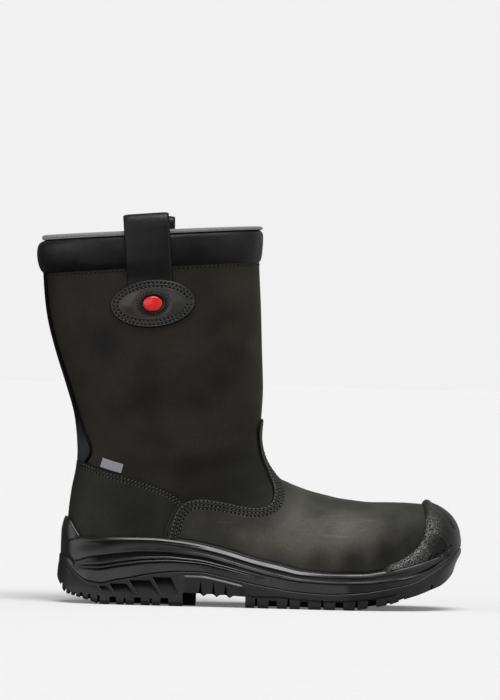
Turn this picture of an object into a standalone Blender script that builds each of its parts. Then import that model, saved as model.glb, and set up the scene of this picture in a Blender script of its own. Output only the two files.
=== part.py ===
"""Pull-on work boot for the right foot. +X is the toe, -Y the outer side, +Z up; the floor is Z = 0."""

import math
from collections import namedtuple

import bmesh
import bpy
from mathutils import Vector
from mathutils.bvhtree import BVHTree

# Lengths below are in millimetres, with X measured from the back of the heel. MM makes them metres.
MM = 0.001

# Driving sizes
SOLE_LENGTH = 310.0
WALL = 2.2
GAP = 0.3
OVERLAY = 1.6
CAP_THICKNESS = 3.2
INSOLE_THICKNESS = 4.0
FIT = 0.15
STRIP_THICKNESS = 1.2
PATCH_THICKNESS = 2.0
TAG_THICKNESS = 1.0

# Stacked distances out from the upper's outer face
OVERLAY_OUT = GAP + OVERLAY
TUB_OUT = OVERLAY_OUT + GAP
CAP_OUT = TUB_OUT + CAP_THICKNESS
STRIP_OUT = GAP + STRIP_THICKNESS
PATCH_OUT = GAP + PATCH_THICKNESS
TAG_OUT = GAP + TAG_THICKNESS

# Reach of the cutters, past the boot on every side
FAR = 160.0
BEHIND, AHEAD = -60.0, SOLE_LENGTH + 30
BELOW, ABOVE = -60.0, 400.0
UNDER_TREAD = -5.0

# Mesh steps
ANKLE_FIRST, ANKLE_LAST = 8, 11
TOE_FIRST = 20
AROUND = 24
HEEL_STEPS = 7
SIDE_STEPS = 13
TOE_STEPS = 7
FOOTBED_STEP = 24
RIM_STEP = 6
OVAL_POINTS = 32
BADGE_POINTS = 20
EDGE_STEPS = 2
ARCH_STEPS = 12

# Sections of the upper's outer face, from the collar round the ankle to the toe. Each lies in a plane
# through a front point on the shin, instep and vamp line and a back point on the leg, heel and sole line.
# widest is how far from back to front the greatest width lies, and the powers round the two ends.
Section = namedtuple(
    "Section",
    "front_x front_z back_x back_z centre_y lateral medial widest front_power back_power",
)
SECTIONS = (
    Section(149.5, 290.0, -16.0, 278.0, 0.0, 44.0, 44.0, 0.50, 2.2, 2.2),
    Section(149.8, 264.6, -15.3, 252.0, 0.0, 43.5, 43.5, 0.50, 2.2, 2.2),
    Section(152.0, 229.0, -11.9, 222.0, 0.0, 42.5, 42.5, 0.50, 2.2, 2.2),
    Section(153.5, 198.0, -5.5, 197.0, 0.0, 41.5, 41.5, 0.50, 2.2, 2.2),
    Section(155.0, 167.0, 4.1, 168.0, 0.0, 40.0, 40.0, 0.50, 2.2, 2.2),
    Section(154.2, 145.0, 10.8, 146.0, 0.0, 38.5, 38.5, 0.50, 2.2, 2.2),
    Section(153.4, 129.0, 13.9, 123.0, 0.0, 37.5, 37.5, 0.49, 2.2, 2.3),
    Section(155.9, 117.0, 13.8, 105.0, 0.0, 37.0, 36.5, 0.48, 2.2, 2.4),
    Section(160.5, 107.5, 10.6, 86.5, 0.0, 36.5, 36.0, 0.46, 2.3, 2.5),
    Section(168.0, 97.8, 8.5, 66.0, 0.0, 36.0, 35.5, 0.44, 2.4, 2.6),
    Section(175.0, 94.2, 8.6, 47.0, 0.0, 36.0, 35.0, 0.43, 2.4, 2.7),
    Section(182.5, 91.2, 14.0, 29.0, 0.0, 36.5, 35.0, 0.42, 2.4, 2.8),
    Section(192.0, 88.0, 46.0, 20.0, 0.0, 38.0, 35.5, 0.41, 2.4, 2.9),
    Section(204.0, 85.1, 92.0, 17.0, 0.0, 40.0, 36.5, 0.40, 2.4, 3.0),
    Section(219.0, 82.2, 142.0, 12.0, 0.0, 45.0, 40.5, 0.38, 2.4, 3.2),
    Section(237.0, 80.2, 186.0, 8.5, 0.5, 49.5, 46.0, 0.37, 2.3, 3.4),
    Section(255.0, 80.3, 222.0, 8.0, 2.0, 49.0, 47.5, 0.37, 2.4, 3.6),
    Section(271.0, 80.0, 250.0, 10.0, 4.0, 45.5, 44.0, 0.38, 2.5, 3.8),
    Section(284.0, 78.6, 272.0, 15.0, 6.0, 39.0, 37.5, 0.40, 2.6, 3.8),
    Section(294.0, 73.6, 289.0, 22.0, 7.5, 30.0, 29.5, 0.44, 2.6, 3.4),
    Section(300.6, 65.5, 299.0, 33.0, 8.5, 19.0, 19.0, 0.48, 2.4, 2.8),
    Section(303.7, 50.0, 303.7, 50.0, 9.0, 0.0, 0.0, 0.50, 2.0, 2.0),
)
TOE = len(SECTIONS) - 1
INSTEP = 9

# Heights along the sole, as rows of x and z
FOOTBED = ((0, 28.5), (40, 27), (97, 24), (125, 20.5), (165, 16), (208, 14.5), (240, 15.5), (265, 19),
           (285, 25.5), (300, 33), (312, 39))
RIM = ((-4, 65), (2.5, 66), (6, 64.5), (11, 57), (16.5, 50.4), (24, 49.6), (37, 50.4), (70, 51), (91, 50),
       (111, 47.7), (131, 43), (151, 37.4), (171, 33), (187.5, 29.3), (211.5, 27.8), (235, 28.3),
       (250, 30.6), (266, 33.8), (281, 38.2), (291, 41.8), (300, 47.4), (306, 52.2), (309, 54.5), (315, 56))
RIB = ((0, 41), (8, 34.5), (14, 32.8), (23, 35.6), (35, 38), (53, 40.4), (68, 41.4), (82, 41.4), (97, 40),
       (109, 38.7), (128, 34.5), (148, 29), (165, 24.7), (190, 21), (218, 20), (237, 20.6), (253, 22.4),
       (268, 24.8), (277, 27.4), (287, 32.6), (298, 40.2), (309, 49.2), (315, 51.6))
SEAM = ((-4, 38), (5.3, 36), (8.5, 30.5), (16, 22), (23.5, 17.5), (33, 16), (46, 19), (57, 21), (68, 23.4),
        (83, 25.6), (97, 26.6), (110, 26.5), (125, 24), (148, 19), (165, 16), (179, 13.7), (192, 12.7),
        (208, 12), (224, 12.7), (237, 14), (256, 17.5), (272, 21.4), (288, 30.4), (301, 39.6), (309, 47.4),
        (315, 50))
PLATE = ((0, 17), (16, 14.5), (33, 12.5), (60, 14), (97, 16.5), (125, 15), (146, 12), (170, 10), (208, 9.2),
         (226, 9.4), (241, 10.5), (254, 12), (268, 14.8), (287, 20.5), (300, 27), (312, 33))
TREAD = ((-4, 20), (-0.5, 18), (2.7, 13.5), (5.7, 8.6), (9.8, 6.6), (14.2, 5.6), (22, 3.6), (29, 1.5),
         (33, 0), (226, 0), (241, 2.5), (254, 4.8), (263, 7.6), (268, 9.6), (277, 12.4), (287, 16.4),
         (295, 19.8), (303, 27), (307, 33), (312, 40))

# Middle line that the sole's outline is measured out from
HEEL_MIDDLE = (44.0, 0.0)
TOE_MIDDLE = (258.0, 5.0)

# Side of the midsole, upwards: share of the way from the seam to the top rib, and distance out from the
# tub's inner face with the ribs faded and with them full
Level = namedtuple("Level", "share plain ribbed")
RIB_LEVELS = (
    Level(0.00, 4.7, 4.7),
    Level(0.25, 4.6, 4.0),
    Level(0.46, 4.5, 4.9),
    Level(0.62, 4.4, 3.5),
    Level(0.78, 4.3, 4.6),
    Level(0.89, 4.2, 3.3),
    Level(1.00, 4.2, 4.3),
)
RIBS_FROM, RIBS_FULL, RIBS_FADE, RIBS_END = 18.0, 32.0, 140.0, 182.0
RIM_BEAD = 3.2
BEAD_LOW, BEAD_HIGH = 0.6, 0.2
RIM_INWARD = -8.0
CHANNEL_OUT, BEAD_OUT, RIM_OUT, RIM_TOP_OUT = 2.7, 3.6, 3.3, 2.4

# Side of the outsole, out from the same face, and of the plug of midsole that sits down in it
SEAM_OUT, SKIRT_OUT, EDGE_OUT = 4.9, 5.6, 4.8
PLUG_OUT, PLUG_TAPER = 0.9, 3.0
SKIRT_HEIGHT = 0.45
EDGE_HEIGHT = 2.0
HEEL_FLARE, FLARE_END = 1.4, 60.0
TOE_TUCK, TUCK_FROM, TUCK_FULL = 4.6, 270.0, 306.0

# Tread: each lug pair has a wide gap after it and a slit in it, listed by where it starts and its width
LUG_DEPTH = 6.0
Slot = namedtuple("Slot", "start width depth")
TREAD_SLOTS = (
    Slot(25.0, 1.2, 8.0),
    Slot(32.0, 1.2, 6.0),
    Slot(41.0, 5.0, 6.0),
    Slot(52.0, 1.8, 4.0),
    Slot(60.0, 5.0, 6.0),
    Slot(72.0, 1.8, 4.0),
    Slot(80.0, 6.0, 6.0),
    Slot(152.6, 2.0, 4.0),
    Slot(163.0, 6.0, 6.0),
    Slot(177.2, 2.4, 4.0),
    Slot(187.0, 6.0, 6.0),
    Slot(203.0, 2.4, 4.0),
    Slot(214.0, 6.0, 6.0),
    Slot(229.0, 2.2, 4.5),
    Slot(239.0, 6.0, 8.5),
    Slot(253.4, 2.2, 8.0),
    Slot(262.6, 4.0, 13.0),
)
SLOT_SPREAD = 0.12
ARCH_FROM, ARCH_TO = 97.0, 145.0
ARCH_HEIGHTS = ((97.0, 10.6), (121.0, 9.8), (145.0, 8.6))
ARCH_RIBS = (113.0, 123.0, 133.0)
ARCH_RIB = 1.8
CHANNEL_WIDTH = 5.0
CHANNEL_DEPTH = LUG_DEPTH - 0.4
HEEL_CHANNEL_Y = 0.0
HEEL_CHANNEL_FROM, HEEL_CHANNEL_DEEP = 28.0, 34.0
FOREFOOT_CHANNELS = (-17.0, 19.0)
FOREFOOT_CHANNEL_RISE, FOREFOOT_CHANNEL_TO = 240.0, 262.0
CHANNEL_INTO_ARCH = 6.0

# Slanted hollows in the heel's side: x at the top and at the bottom, front and back, and the two heights
Flute = namedtuple("Flute", "top_back top_front top_z low_back low_front low_z")
FLUTES = (
    Flute(43.5, 55.5, 16.5, 49.0, 62.5, 8.0),
    Flute(59.5, 73.0, 19.5, 66.5, 83.0, 7.5),
    Flute(77.0, 86.5, 21.5, 87.0, 94.5, 8.0),
)
FLUTE_DEPTH = 2.4
FLUTE_REACH = 8.0

# Panel edges in the side view, as rows of x and z
VAMP_EDGE = ((157.2, 145.6), (153.6, 143.6), (151.6, 138.0), (151.4, 129.0), (154.0, 116.0), (160.2, 101.0),
             (164.2, 89.5), (163.0, 80.5), (156.7, 76.8), (147.0, 76.6), (130.0, 80.0), (114.0, 82.4),
             (104.7, 82.2), (96.8, 79.8), (90.8, 73.5), (87.8, 66.5), (84.4, 50.0), (81.0, 30.0))
VAMP_TOP = ((AHEAD, 146.0), (165.0, 146.0))
VAMP_REAR = VAMP_EDGE[-4:]
COUNTER_EDGE = ((11.0, 110.6), (20.4, 108.0), (32.5, 103.6), (50.0, 98.7), (72.6, 92.6), (87.4, 86.4),
                (95.0, 80.4))
COUNTER_TOP = 111.5
STRIP_FOOT = COUNTER_EDGE[:2]
STRIP_EDGE = ((-14.4, 252.6), (-10.6, 224.0), (-6.0, 206.0), (0.6, 186.0), (7.4, 167.0), (12.8, 150.0),
              (18.3, 135.0), (22.6, 126.0), (24.9, 119.0), (24.2, 113.0), (21.2, 108.2))
CAP_EDGE = ((278.6, 92.0), (279.0, 82.0), (280.4, 76.0), (281.2, 69.0), (280.8, 62.5), (279.0, 56.5),
            (275.2, 49.5), (269.5, 44.0), (262.0, 39.0), (254.0, 35.6))
CAP_LIFT = 0.9
CAP_BASE_FROM, CAP_BASE_TO = 258, 330

# Collar
CUFF_PROFILE = ((0.03, 1.0), (0.16, 2.6), (0.50, 3.3), (0.84, 2.5), (0.97, 0.9))
RIM_PROFILE = ((0.5, 0.6), (0.8, 3.4), (-0.2, 5.0), (-1.2, 5.0), (-2.2, 3.4), (-1.9, 0.6))

# Pull loops
LOOP_WIDTH = 35.0
LOOP_THICKNESS = 1.8
LOOP_LEAN = math.radians(5.0)
LOOP_CENTRE_X = 66.5
LOOP_PATH = ((1.0, 240.0), (1.2, 252.0), (4.6, 262.0), (5.2, 272.0), (5.0, 284.0), (4.6, 292.0), (2.4, 298.4),
             (-1.6, 300.6), (-5.0, 297.6), (-5.8, 290.0), (-4.4, 280.0), (-3.8, 268.0), (-3.8, 254.0))
LOOP_PIVOT_Z = 250.0
LOOP_WALL_TOP = 276.0
LOOP_STRIPS = 3
SIDE_CLEAR = 20.0
PATCH_CENTRE = (69.0, 231.0)
PATCH_HALF = (32.5, 18.5)
PATCH_TILT = math.radians(6.0)
BADGE_HALF = (10.5, 7.9)
BADGE_HEIGHT = 2.0
BADGE_PROFILE = ((1.0, 0.0), (1.0, 0.9), (0.82, 1.5), (0.5, 1.9))
TAG_CORNERS = ((33.6, 112.0), (49.4, 107.4), (47.8, 100.4), (31.6, 105.0))

BOOT = None


def table_value(rows, x):
    """Height at x through a table of x and z, by a smooth curve that doesn't overshoot."""
    if x <= rows[0][0]:
        return rows[0][1]
    if x >= rows[-1][0]:
        return rows[-1][1]
    i = max(k for k in range(len(rows) - 1) if rows[k][0] <= x)
    slopes = [(b[1] - a[1]) / (b[0] - a[0]) for a, b in zip(rows, rows[1:])]

    def tangent(k):
        if k in (0, len(rows) - 1):
            return slopes[min(k, len(slopes) - 1)]
        before, after = slopes[k - 1], slopes[k]
        return 0.0 if before * after <= 0 else 2 * before * after / (before + after)

    step = rows[i + 1][0] - rows[i][0]
    t = (x - rows[i][0]) / step
    return (
        rows[i][1] * (1 + 2 * t) * (1 - t) ** 2
        + tangent(i) * step * t * (1 - t) ** 2
        + rows[i + 1][1] * t * t * (3 - 2 * t)
        - tangent(i + 1) * step * t * t * (1 - t)
    )


def blend(rows, s):
    """Row s of a table, with a smooth curve between whole rows."""
    i = min(int(s), len(rows) - 2)
    t = s - i
    a, b, c, d = (rows[min(max(k, 0), len(rows) - 1)] for k in (i - 1, i, i + 1, i + 2))
    return [
        0.5 * (2 * q + (r - p) * t + (2 * p - 5 * q + 4 * r - u) * t * t + (3 * q - p - 3 * r + u) * t ** 3)
        for p, q, r, u in zip(a, b, c, d)
    ]


def curve(points, steps):
    """Points along a smooth line through the given ones."""
    count = (len(points) - 1) * steps
    return [tuple(blend(points, i / steps)) for i in range(count + 1)]


def form_point(s, angle):
    """Point of the upper's outer face: section s, turned from front (0) to back (pi) by the inner side."""
    row = Section(*blend(SECTIONS, s))
    cosine, sine = math.cos(angle), math.sin(angle)
    power = row.front_power if cosine >= 0 else row.back_power
    reach = abs(cosine) ** (2 / power)
    along = row.widest + (1 - row.widest) * reach if cosine >= 0 else row.widest * (1 - reach)
    half = row.medial if sine >= 0 else -row.lateral
    return Vector((
        row.back_x + along * (row.front_x - row.back_x),
        row.centre_y + half * abs(sine) ** (2 / power),
        row.back_z + along * (row.front_z - row.back_z),
    ))


def form_normal(s, angle):
    """Outward direction of the upper's outer face."""
    row = Section(*blend(SECTIONS, min(s, TOE - 0.3)))
    small = 0.02
    lower, upper = max(s - small, 0), min(s + small, TOE - small)
    along = form_point(upper, angle) - form_point(lower, angle)
    round_it = form_point(min(s, TOE - small), angle + small) - form_point(min(s, TOE - small), angle - small)
    middle = Vector((
        row.back_x + row.widest * (row.front_x - row.back_x),
        row.centre_y,
        row.back_z + row.widest * (row.front_z - row.back_z),
    ))
    normal = along.cross(round_it).normalized()
    return normal if normal.dot(form_point(s, angle) - middle) >= 0 else -normal


def form_stations():
    """Places along the sections that the meshes use: twice as close round the ankle and at the toe."""
    stations = []
    for i in range(TOE):
        stations.append(i)
        if ANKLE_FIRST <= i < ANKLE_LAST or i >= TOE_FIRST:
            stations.append(i + 0.5)
    return stations


def form_rings(offset):
    """Rings of points at a distance out from the upper's outer face, and the single point at the toe."""
    rings = []
    for s in form_stations():
        angles = [2 * math.pi * j / AROUND for j in range(AROUND)]
        rings.append([form_point(s, a) + offset * form_normal(s, a) for a in angles])
    tip = form_point(TOE, 0.0) + Vector((offset, 0, 0))
    return rings, tip


def add_rings(points, faces, rings):
    """Adds rings and the bands of faces between them, and returns the index of each ring's first point."""
    starts = []
    for ring in rings:
        starts.append(len(points))
        points.extend(ring)
    count = len(rings[0])
    for low, high in zip(starts, starts[1:]):
        for j in range(count):
            k = (j + 1) % count
            faces.append((low + j, low + k, high + k))
            faces.append((low + j, high + k, high + j))
    return starts


def join_rings(faces, low, high, count):
    faces.extend((low + j, low + (j + 1) % count, high + (j + 1) % count, high + j) for j in range(count))


def add_fan(faces, start, count, tip):
    faces.extend((start + j, start + (j + 1) % count, tip) for j in range(count))


def material(name, colour, roughness):
    made = bpy.data.materials.new(name)
    made.use_nodes = True
    shader = made.node_tree.nodes["Principled BSDF"]
    shader.inputs["Base Color"].default_value = (*colour, 1)
    shader.inputs["Roughness"].default_value = roughness
    made.diffuse_color = (*colour, 1)
    return made


def solid(name, points, faces, look=None):
    """A closed mesh object from points in millimetres. Without a material it is a cutter."""
    mesh = bpy.data.meshes.new(name)
    mesh.from_pydata([Vector(p) * MM for p in points], [], faces)
    work = bmesh.new()
    work.from_mesh(mesh)
    bmesh.ops.recalc_face_normals(work, faces=work.faces)
    if work.calc_volume(signed=True) < 0:
        bmesh.ops.reverse_faces(work, faces=work.faces)
    work.to_mesh(mesh)
    work.free()
    made = bpy.data.objects.new(name, mesh)
    bpy.context.scene.collection.objects.link(made)
    made.parent = BOOT
    if look:
        mesh.materials.append(look)
    else:
        made.hide_render = True
        made.display_type = "WIRE"
    return made


def cut(target, tool, operation="DIFFERENCE"):
    change = target.modifiers.new(f"{operation.lower()} {tool.name}", "BOOLEAN")
    change.object = tool
    change.operation = operation
    change.solver = "EXACT"


def prism(name, outline, near=-FAR, far=FAR):
    """A cutter with a side-view outline, from one Y to another."""
    count = len(outline)
    points = [(x, y, z) for y in (near, far) for x, z in outline]
    faces = [tuple(range(count)), tuple(range(2 * count - 1, count - 1, -1))]
    faces += [(i, (i + 1) % count, count + (i + 1) % count, count + i) for i in range(count)]
    return solid(name, points, faces)


def form_solid(name, offset):
    """The filled shape of the upper at a distance out from its face, as a cutter."""
    points, faces = [], []
    rings, tip = form_rings(offset)
    starts = add_rings(points, faces, rings)
    faces.append(tuple(range(AROUND)))
    points.append(tip)
    add_fan(faces, starts[-1], AROUND, len(points) - 1)
    return solid(name, points, faces)


def form_shell(name, inner, outer, look):
    """A wall between two distances out from the upper's face, open at the collar."""
    points, faces = [], []
    tops = []
    for offset in (inner, outer):
        rings, tip = form_rings(offset)
        starts = add_rings(points, faces, rings)
        points.append(tip)
        add_fan(faces, starts[-1], AROUND, len(points) - 1)
        tops.append(starts[0])
    join_rings(faces, *tops, AROUND)
    return solid(name, points, faces, look)


def footbed_line(lift):
    """The footbed's line in the side view, raised or lowered."""
    return [(x, table_value(FOOTBED, x) + lift) for x in range(-30, 336, FOOTBED_STEP)]


def below_footbed(name, lift):
    """A cutter for all that lies under the footbed's line."""
    return prism(name, footbed_line(lift) + [(AHEAD, BELOW), (BEHIND, BELOW)])


def side_span(side):
    """The Y span of a cutter that meets only one side of the boot."""
    return (-FAR, -SIDE_CLEAR) if side < 0 else (SIDE_CLEAR, FAR)


def oval(centre, half, tilt):
    turns = [2 * math.pi * i / OVAL_POINTS for i in range(OVAL_POINTS)]
    flat = [(half[0] * math.cos(a), half[1] * math.sin(a)) for a in turns]
    cosine, sine = math.cos(tilt), math.sin(tilt)
    return [(centre[0] + u * cosine - v * sine, centre[1] + u * sine + v * cosine) for u, v in flat]


def build_upper(look, under_foot):
    upper = form_shell("upper", -WALL, 0.0, look)
    cut(upper, under_foot)


def build_vamp(look, under_foot):
    vamp = form_shell("vamp", GAP, OVERLAY_OUT, look)
    edge = curve(VAMP_EDGE, EDGE_STEPS)
    outline = [*VAMP_TOP, *edge, (VAMP_EDGE[-1][0], 0.0), (AHEAD, 0.0)]
    cut(vamp, prism("vamp_outline", outline), "INTERSECT")
    cut(vamp, under_foot)


def build_counter(look, under_foot):
    counter = form_shell("counter", GAP, OVERLAY_OUT, look)
    front = [(x - 2 * GAP, z) for x, z in VAMP_REAR]
    edge = curve(COUNTER_EDGE, EDGE_STEPS)
    outline = [(BEHIND, COUNTER_TOP), *edge, *front, (front[-1][0], 0.0), (BEHIND, 0.0)]
    cut(counter, prism("counter_outline", outline), "INTERSECT")
    cut(counter, under_foot)


def build_back_strip(look):
    strip = form_shell("back_strip", GAP, STRIP_OUT, look)
    foot = [(x, z + 2 * GAP) for x, z in reversed(STRIP_FOOT)]
    cuff_back = SECTIONS[1].back_z - 2 * GAP
    edge = [(x, z) for x, z in curve(STRIP_EDGE, EDGE_STEPS) if foot[0][1] < z < cuff_back]
    top = [(BEHIND, cuff_back), (STRIP_EDGE[0][0], cuff_back)]
    outline = [*top, *edge, *foot, (BEHIND, COUNTER_TOP + 2 * GAP)]
    cut(strip, prism("back_strip_outline", outline), "INTERSECT")


def build_toe_cap(look):
    cap = form_shell("toe_cap", TUB_OUT, CAP_OUT, look)
    rear = curve(CAP_EDGE, EDGE_STEPS)
    base = [(x, table_value(RIM, x) + CAP_LIFT) for x in range(CAP_BASE_FROM, CAP_BASE_TO, RIM_STEP)]
    cut(cap, prism("toe_cap_outline", [(AHEAD, CAP_EDGE[0][1]), *rear, *base]), "INTERSECT")


def build_insole(look, under_foot):
    """Footbed: the inside of the upper, between the footbed line and the insole's top."""
    insole = form_solid("insole", -WALL - GAP)
    insole.data.materials.append(look)
    insole.hide_render = False
    insole.display_type = "TEXTURED"
    top = footbed_line(INSOLE_THICKNESS)
    cut(insole, prism("above_insole", top + [(AHEAD, ABOVE), (BEHIND, ABOVE)]))
    cut(insole, under_foot)


def build_cuff(look):
    """Padded band round the collar, between the first two sections."""
    points, faces = [], []
    turns = [2 * math.pi * j / AROUND for j in range(AROUND)]
    outside = [[form_point(s, a) + (GAP + out) * form_normal(s, a) for a in turns] for s, out in CUFF_PROFILE]
    inside = [
        [form_point(s, a) + GAP * form_normal(s, a) for a in turns]
        for s in (CUFF_PROFILE[-1][0], 0.5, CUFF_PROFILE[0][0])
    ]
    starts = add_rings(points, faces, outside + inside)
    join_rings(faces, starts[-1], starts[0], AROUND)
    solid("cuff", points, faces, look)


def build_lining_rim(look):
    """Rolled edge of the lining, standing on the upper's rim."""
    points, faces = [], []
    turns = [2 * math.pi * j / AROUND for j in range(AROUND)]
    rings = []
    for out, up in RIM_PROFILE:
        ring = []
        for a in turns:
            across = form_normal(0.0, a)
            across.z = 0.0
            ring.append(form_point(0.0, a) + out * across.normalized() + Vector((0, 0, up)))
        rings.append(ring)
    starts = add_rings(points, faces, rings)
    join_rings(faces, starts[-1], starts[0], AROUND)
    solid("lining_rim", points, faces, look)


def side_angle(s, x, side):
    """Turn at which section s has the given x on one side of the boot."""
    low, high = 0.0, math.pi
    for _ in range(40):
        middle = (low + high) / 2
        low, high = (middle, high) if form_point(s, side * middle).x > x else (low, middle)
    return side * low


def side_point(x, z, side, out):
    """Point over the upper's face at a side-view place, and the outward direction there."""
    low, high = 0.0, INSTEP
    for _ in range(40):
        middle = (low + high) / 2
        angle = side_angle(middle, x, side)
        low, high = (middle, high) if form_point(middle, angle).z > z else (low, middle)
    angle = side_angle(low, x, side)
    normal = form_normal(low, angle)
    return form_point(low, angle) + out * normal, normal


def build_loop(name, side, look):
    """Strap over the collar. Its path is given out from the upper's face, and up."""
    across = [(i / LOOP_STRIPS - 0.5) * LOOP_WIDTH for i in range(LOOP_STRIPS + 1)]
    middle = [Vector(spot) for spot in LOOP_PATH]
    rings = []
    for i, spot in enumerate(middle):
        run = middle[min(i + 1, len(middle) - 1)] - middle[max(i - 1, 0)]
        out_way = Vector((run.y, -run.x)).normalized()
        half = LOOP_THICKNESS / 2
        ring = []
        for lift, order in ((half, across), (-half, list(reversed(across)))):
            for u in order:
                place = spot + lift * out_way
                x = LOOP_CENTRE_X + u * math.cos(LOOP_LEAN) - (place.y - LOOP_PIVOT_Z) * math.sin(LOOP_LEAN)
                z = place.y + u * math.sin(LOOP_LEAN)
                base, _ = side_point(x, min(place.y, LOOP_WALL_TOP), side, 0.0)
                ring.append((x, base.y + side * place.x, z))
        rings.append(ring)
    points, faces = [], []
    starts = add_rings(points, faces, rings)
    count = len(rings[0])
    faces.append(tuple(range(count)))
    faces.append(tuple(starts[-1] + j for j in range(count)))
    loop = solid(name, points, faces, look)
    grown = (PATCH_HALF[0] + 2 * GAP, PATCH_HALF[1] + 2 * GAP)
    cut(loop, prism(f"{name}_end", oval(PATCH_CENTRE, grown, PATCH_TILT), *side_span(side)))


def build_patch(name, side, look):
    """Oval patch that covers the loop's outer end."""
    patch = form_shell(name, GAP, PATCH_OUT, look)
    outline = oval(PATCH_CENTRE, PATCH_HALF, PATCH_TILT)
    cut(patch, prism(f"{name}_outline", outline, *side_span(side)), "INTERSECT")


def build_badge(look):
    """Low dome on the outer patch."""
    centre, normal = side_point(*PATCH_CENTRE, -1, PATCH_OUT + 2 * GAP)
    along = Vector((math.cos(PATCH_TILT), 0, math.sin(PATCH_TILT)))
    along = (along - along.dot(normal) * normal).normalized()
    upward = normal.cross(along)
    turns = [2 * math.pi * i / BADGE_POINTS for i in range(BADGE_POINTS)]
    rings = []
    for share, height in BADGE_PROFILE:
        rings.append([
            centre + normal * height
            + share * (BADGE_HALF[0] * math.cos(a) * along + BADGE_HALF[1] * math.sin(a) * upward)
            for a in turns
        ])
    points, faces = [], []
    starts = add_rings(points, faces, rings)
    faces.append(tuple(range(BADGE_POINTS)))
    points.append(centre + normal * BADGE_HEIGHT)
    add_fan(faces, starts[-1], BADGE_POINTS, len(points) - 1)
    solid("badge", points, faces, look)


def build_tag(look):
    """Small woven tag that stands out of the counter's top seam."""
    tag = form_shell("side_tag", GAP, TAG_OUT, look)
    cut(tag, prism("tag_outline", TAG_CORNERS, *side_span(-1)), "INTERSECT")
    seam = [(x, z + 2 * GAP) for x, z in COUNTER_EDGE]
    cut(tag, prism("tag_below", [(BEHIND, seam[0][1]), *seam, (seam[-1][0], BELOW), (BEHIND, BELOW)]))


def sole_stations():
    """Start and direction of each ray from the middle line to the outer side's outline, heel to toe."""
    stations = []
    for i in range(HEEL_STEPS):
        turn = math.pi + 0.5 * math.pi * i / HEEL_STEPS
        stations.append((*HEEL_MIDDLE, math.cos(turn), math.sin(turn)))
    for i in range(SIDE_STEPS):
        share = i / SIDE_STEPS
        x, y = (h + share * (t - h) for h, t in zip(HEEL_MIDDLE, TOE_MIDDLE))
        stations.append((x, y, 0.0, -1.0))
    for i in range(TOE_STEPS + 1):
        turn = 1.5 * math.pi + 0.5 * math.pi * i / TOE_STEPS
        stations.append((*TOE_MIDDLE, math.cos(turn), math.sin(turn)))
    return stations


def sole_outline():
    """The tub's inner face at rim height, round from the heel by the outer side: place and outward way."""
    points, faces = [], []
    rings, tip = form_rings(TUB_OUT)
    add_rings(points, faces, rings)
    points.append(tip)
    add_fan(faces, len(points) - 1 - AROUND, AROUND, len(points) - 1)
    face = BVHTree.FromPolygons(points, faces)
    outer = sole_stations()
    inner = [(x, y, dx, -dy) for x, y, dx, dy in reversed(outer[1:-1])]
    outline = []
    for x, y, dx, dy in outer + inner:
        way = Vector((dx, dy, 0))
        spot = Vector((x, y, 0))
        for _ in range(4):
            start = Vector((x, y, table_value(RIM, spot.x)))
            hit = face.ray_cast(start, way)
            spot = hit[0]
        outline.append((spot, way))
    return outline


def ring_at(outline, out, height, seen=None):
    """A ring round the sole. out and height are functions of x, taken at the distance seen if it is given."""
    ring = []
    for spot, way in outline:
        place = spot + out(spot.x) * way
        x = place.x if seen is None else spot.x + seen * way.x
        ring.append((place.x, place.y, height(x)))
    return ring


def strip_faces(start, count):
    """Faces across the sole between the outer and inner side of one ring."""
    half = count // 2
    faces = []
    for i in range(half):
        left = (start + i, start + i + 1)
        right = (start + (count - i) % count, start + count - i - 1)
        corners = (left[0], left[1], right[1], right[0])
        faces.append(tuple(dict.fromkeys(corners)))
    return faces


def rib_strength(x):
    rise = min(max((x - RIBS_FROM) / (RIBS_FULL - RIBS_FROM), 0), 1)
    fall = min(max((RIBS_END - x) / (RIBS_END - RIBS_FADE), 0), 1)
    return min(rise, fall)


def build_midsole(outline, look):
    """Tub with ribbed sides, a rolled rim and the spur up the heel."""
    seam = lambda x: table_value(SEAM, x) + FIT
    rim = lambda x: table_value(RIM, x)
    rib = lambda x: table_value(RIB, x)
    plate = lambda x: table_value(PLATE, x) + FIT
    rings = [
        ring_at(outline, lambda x: PLUG_OUT - PLUG_TAPER, plate, PLUG_OUT),
        ring_at(outline, lambda x: PLUG_OUT, seam, SEAM_OUT),
    ]
    for level in RIB_LEVELS:
        rings.append(ring_at(
            outline,
            lambda x, row=level: row.plain + (row.ribbed - row.plain) * rib_strength(x),
            lambda x, row=level: seam(x) + row.share * (rib(x) - seam(x)),
            SEAM_OUT,
        ))
    rings += [
        ring_at(outline, lambda x: CHANNEL_OUT, lambda x: rim(x) - RIM_BEAD),
        ring_at(outline, lambda x: BEAD_OUT, lambda x: rim(x) - BEAD_LOW * RIM_BEAD),
        ring_at(outline, lambda x: RIM_OUT, lambda x: rim(x) - BEAD_HIGH * RIM_BEAD),
        ring_at(outline, lambda x: RIM_TOP_OUT, rim),
        ring_at(outline, lambda x: RIM_INWARD, rim),
    ]
    points, faces = [], []
    starts = add_rings(points, faces, rings)
    faces += strip_faces(starts[0], len(outline))
    faces += strip_faces(starts[-1], len(outline))
    midsole = solid("midsole", points, faces, look)
    hollow = form_solid("tub_hollow", TUB_OUT)
    cut(hollow, below_footbed("tub_floor", -GAP))
    cut(midsole, hollow)


def tread_tuck(x):
    """How far the tread's edge stands out at the heel, and in at the toe."""
    heel = min(max(1 - x / FLARE_END, 0), 1)
    toe = min(max((x - TUCK_FROM) / (TUCK_FULL - TUCK_FROM), 0), 1)
    return HEEL_FLARE * heel - TOE_TUCK * toe


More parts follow.
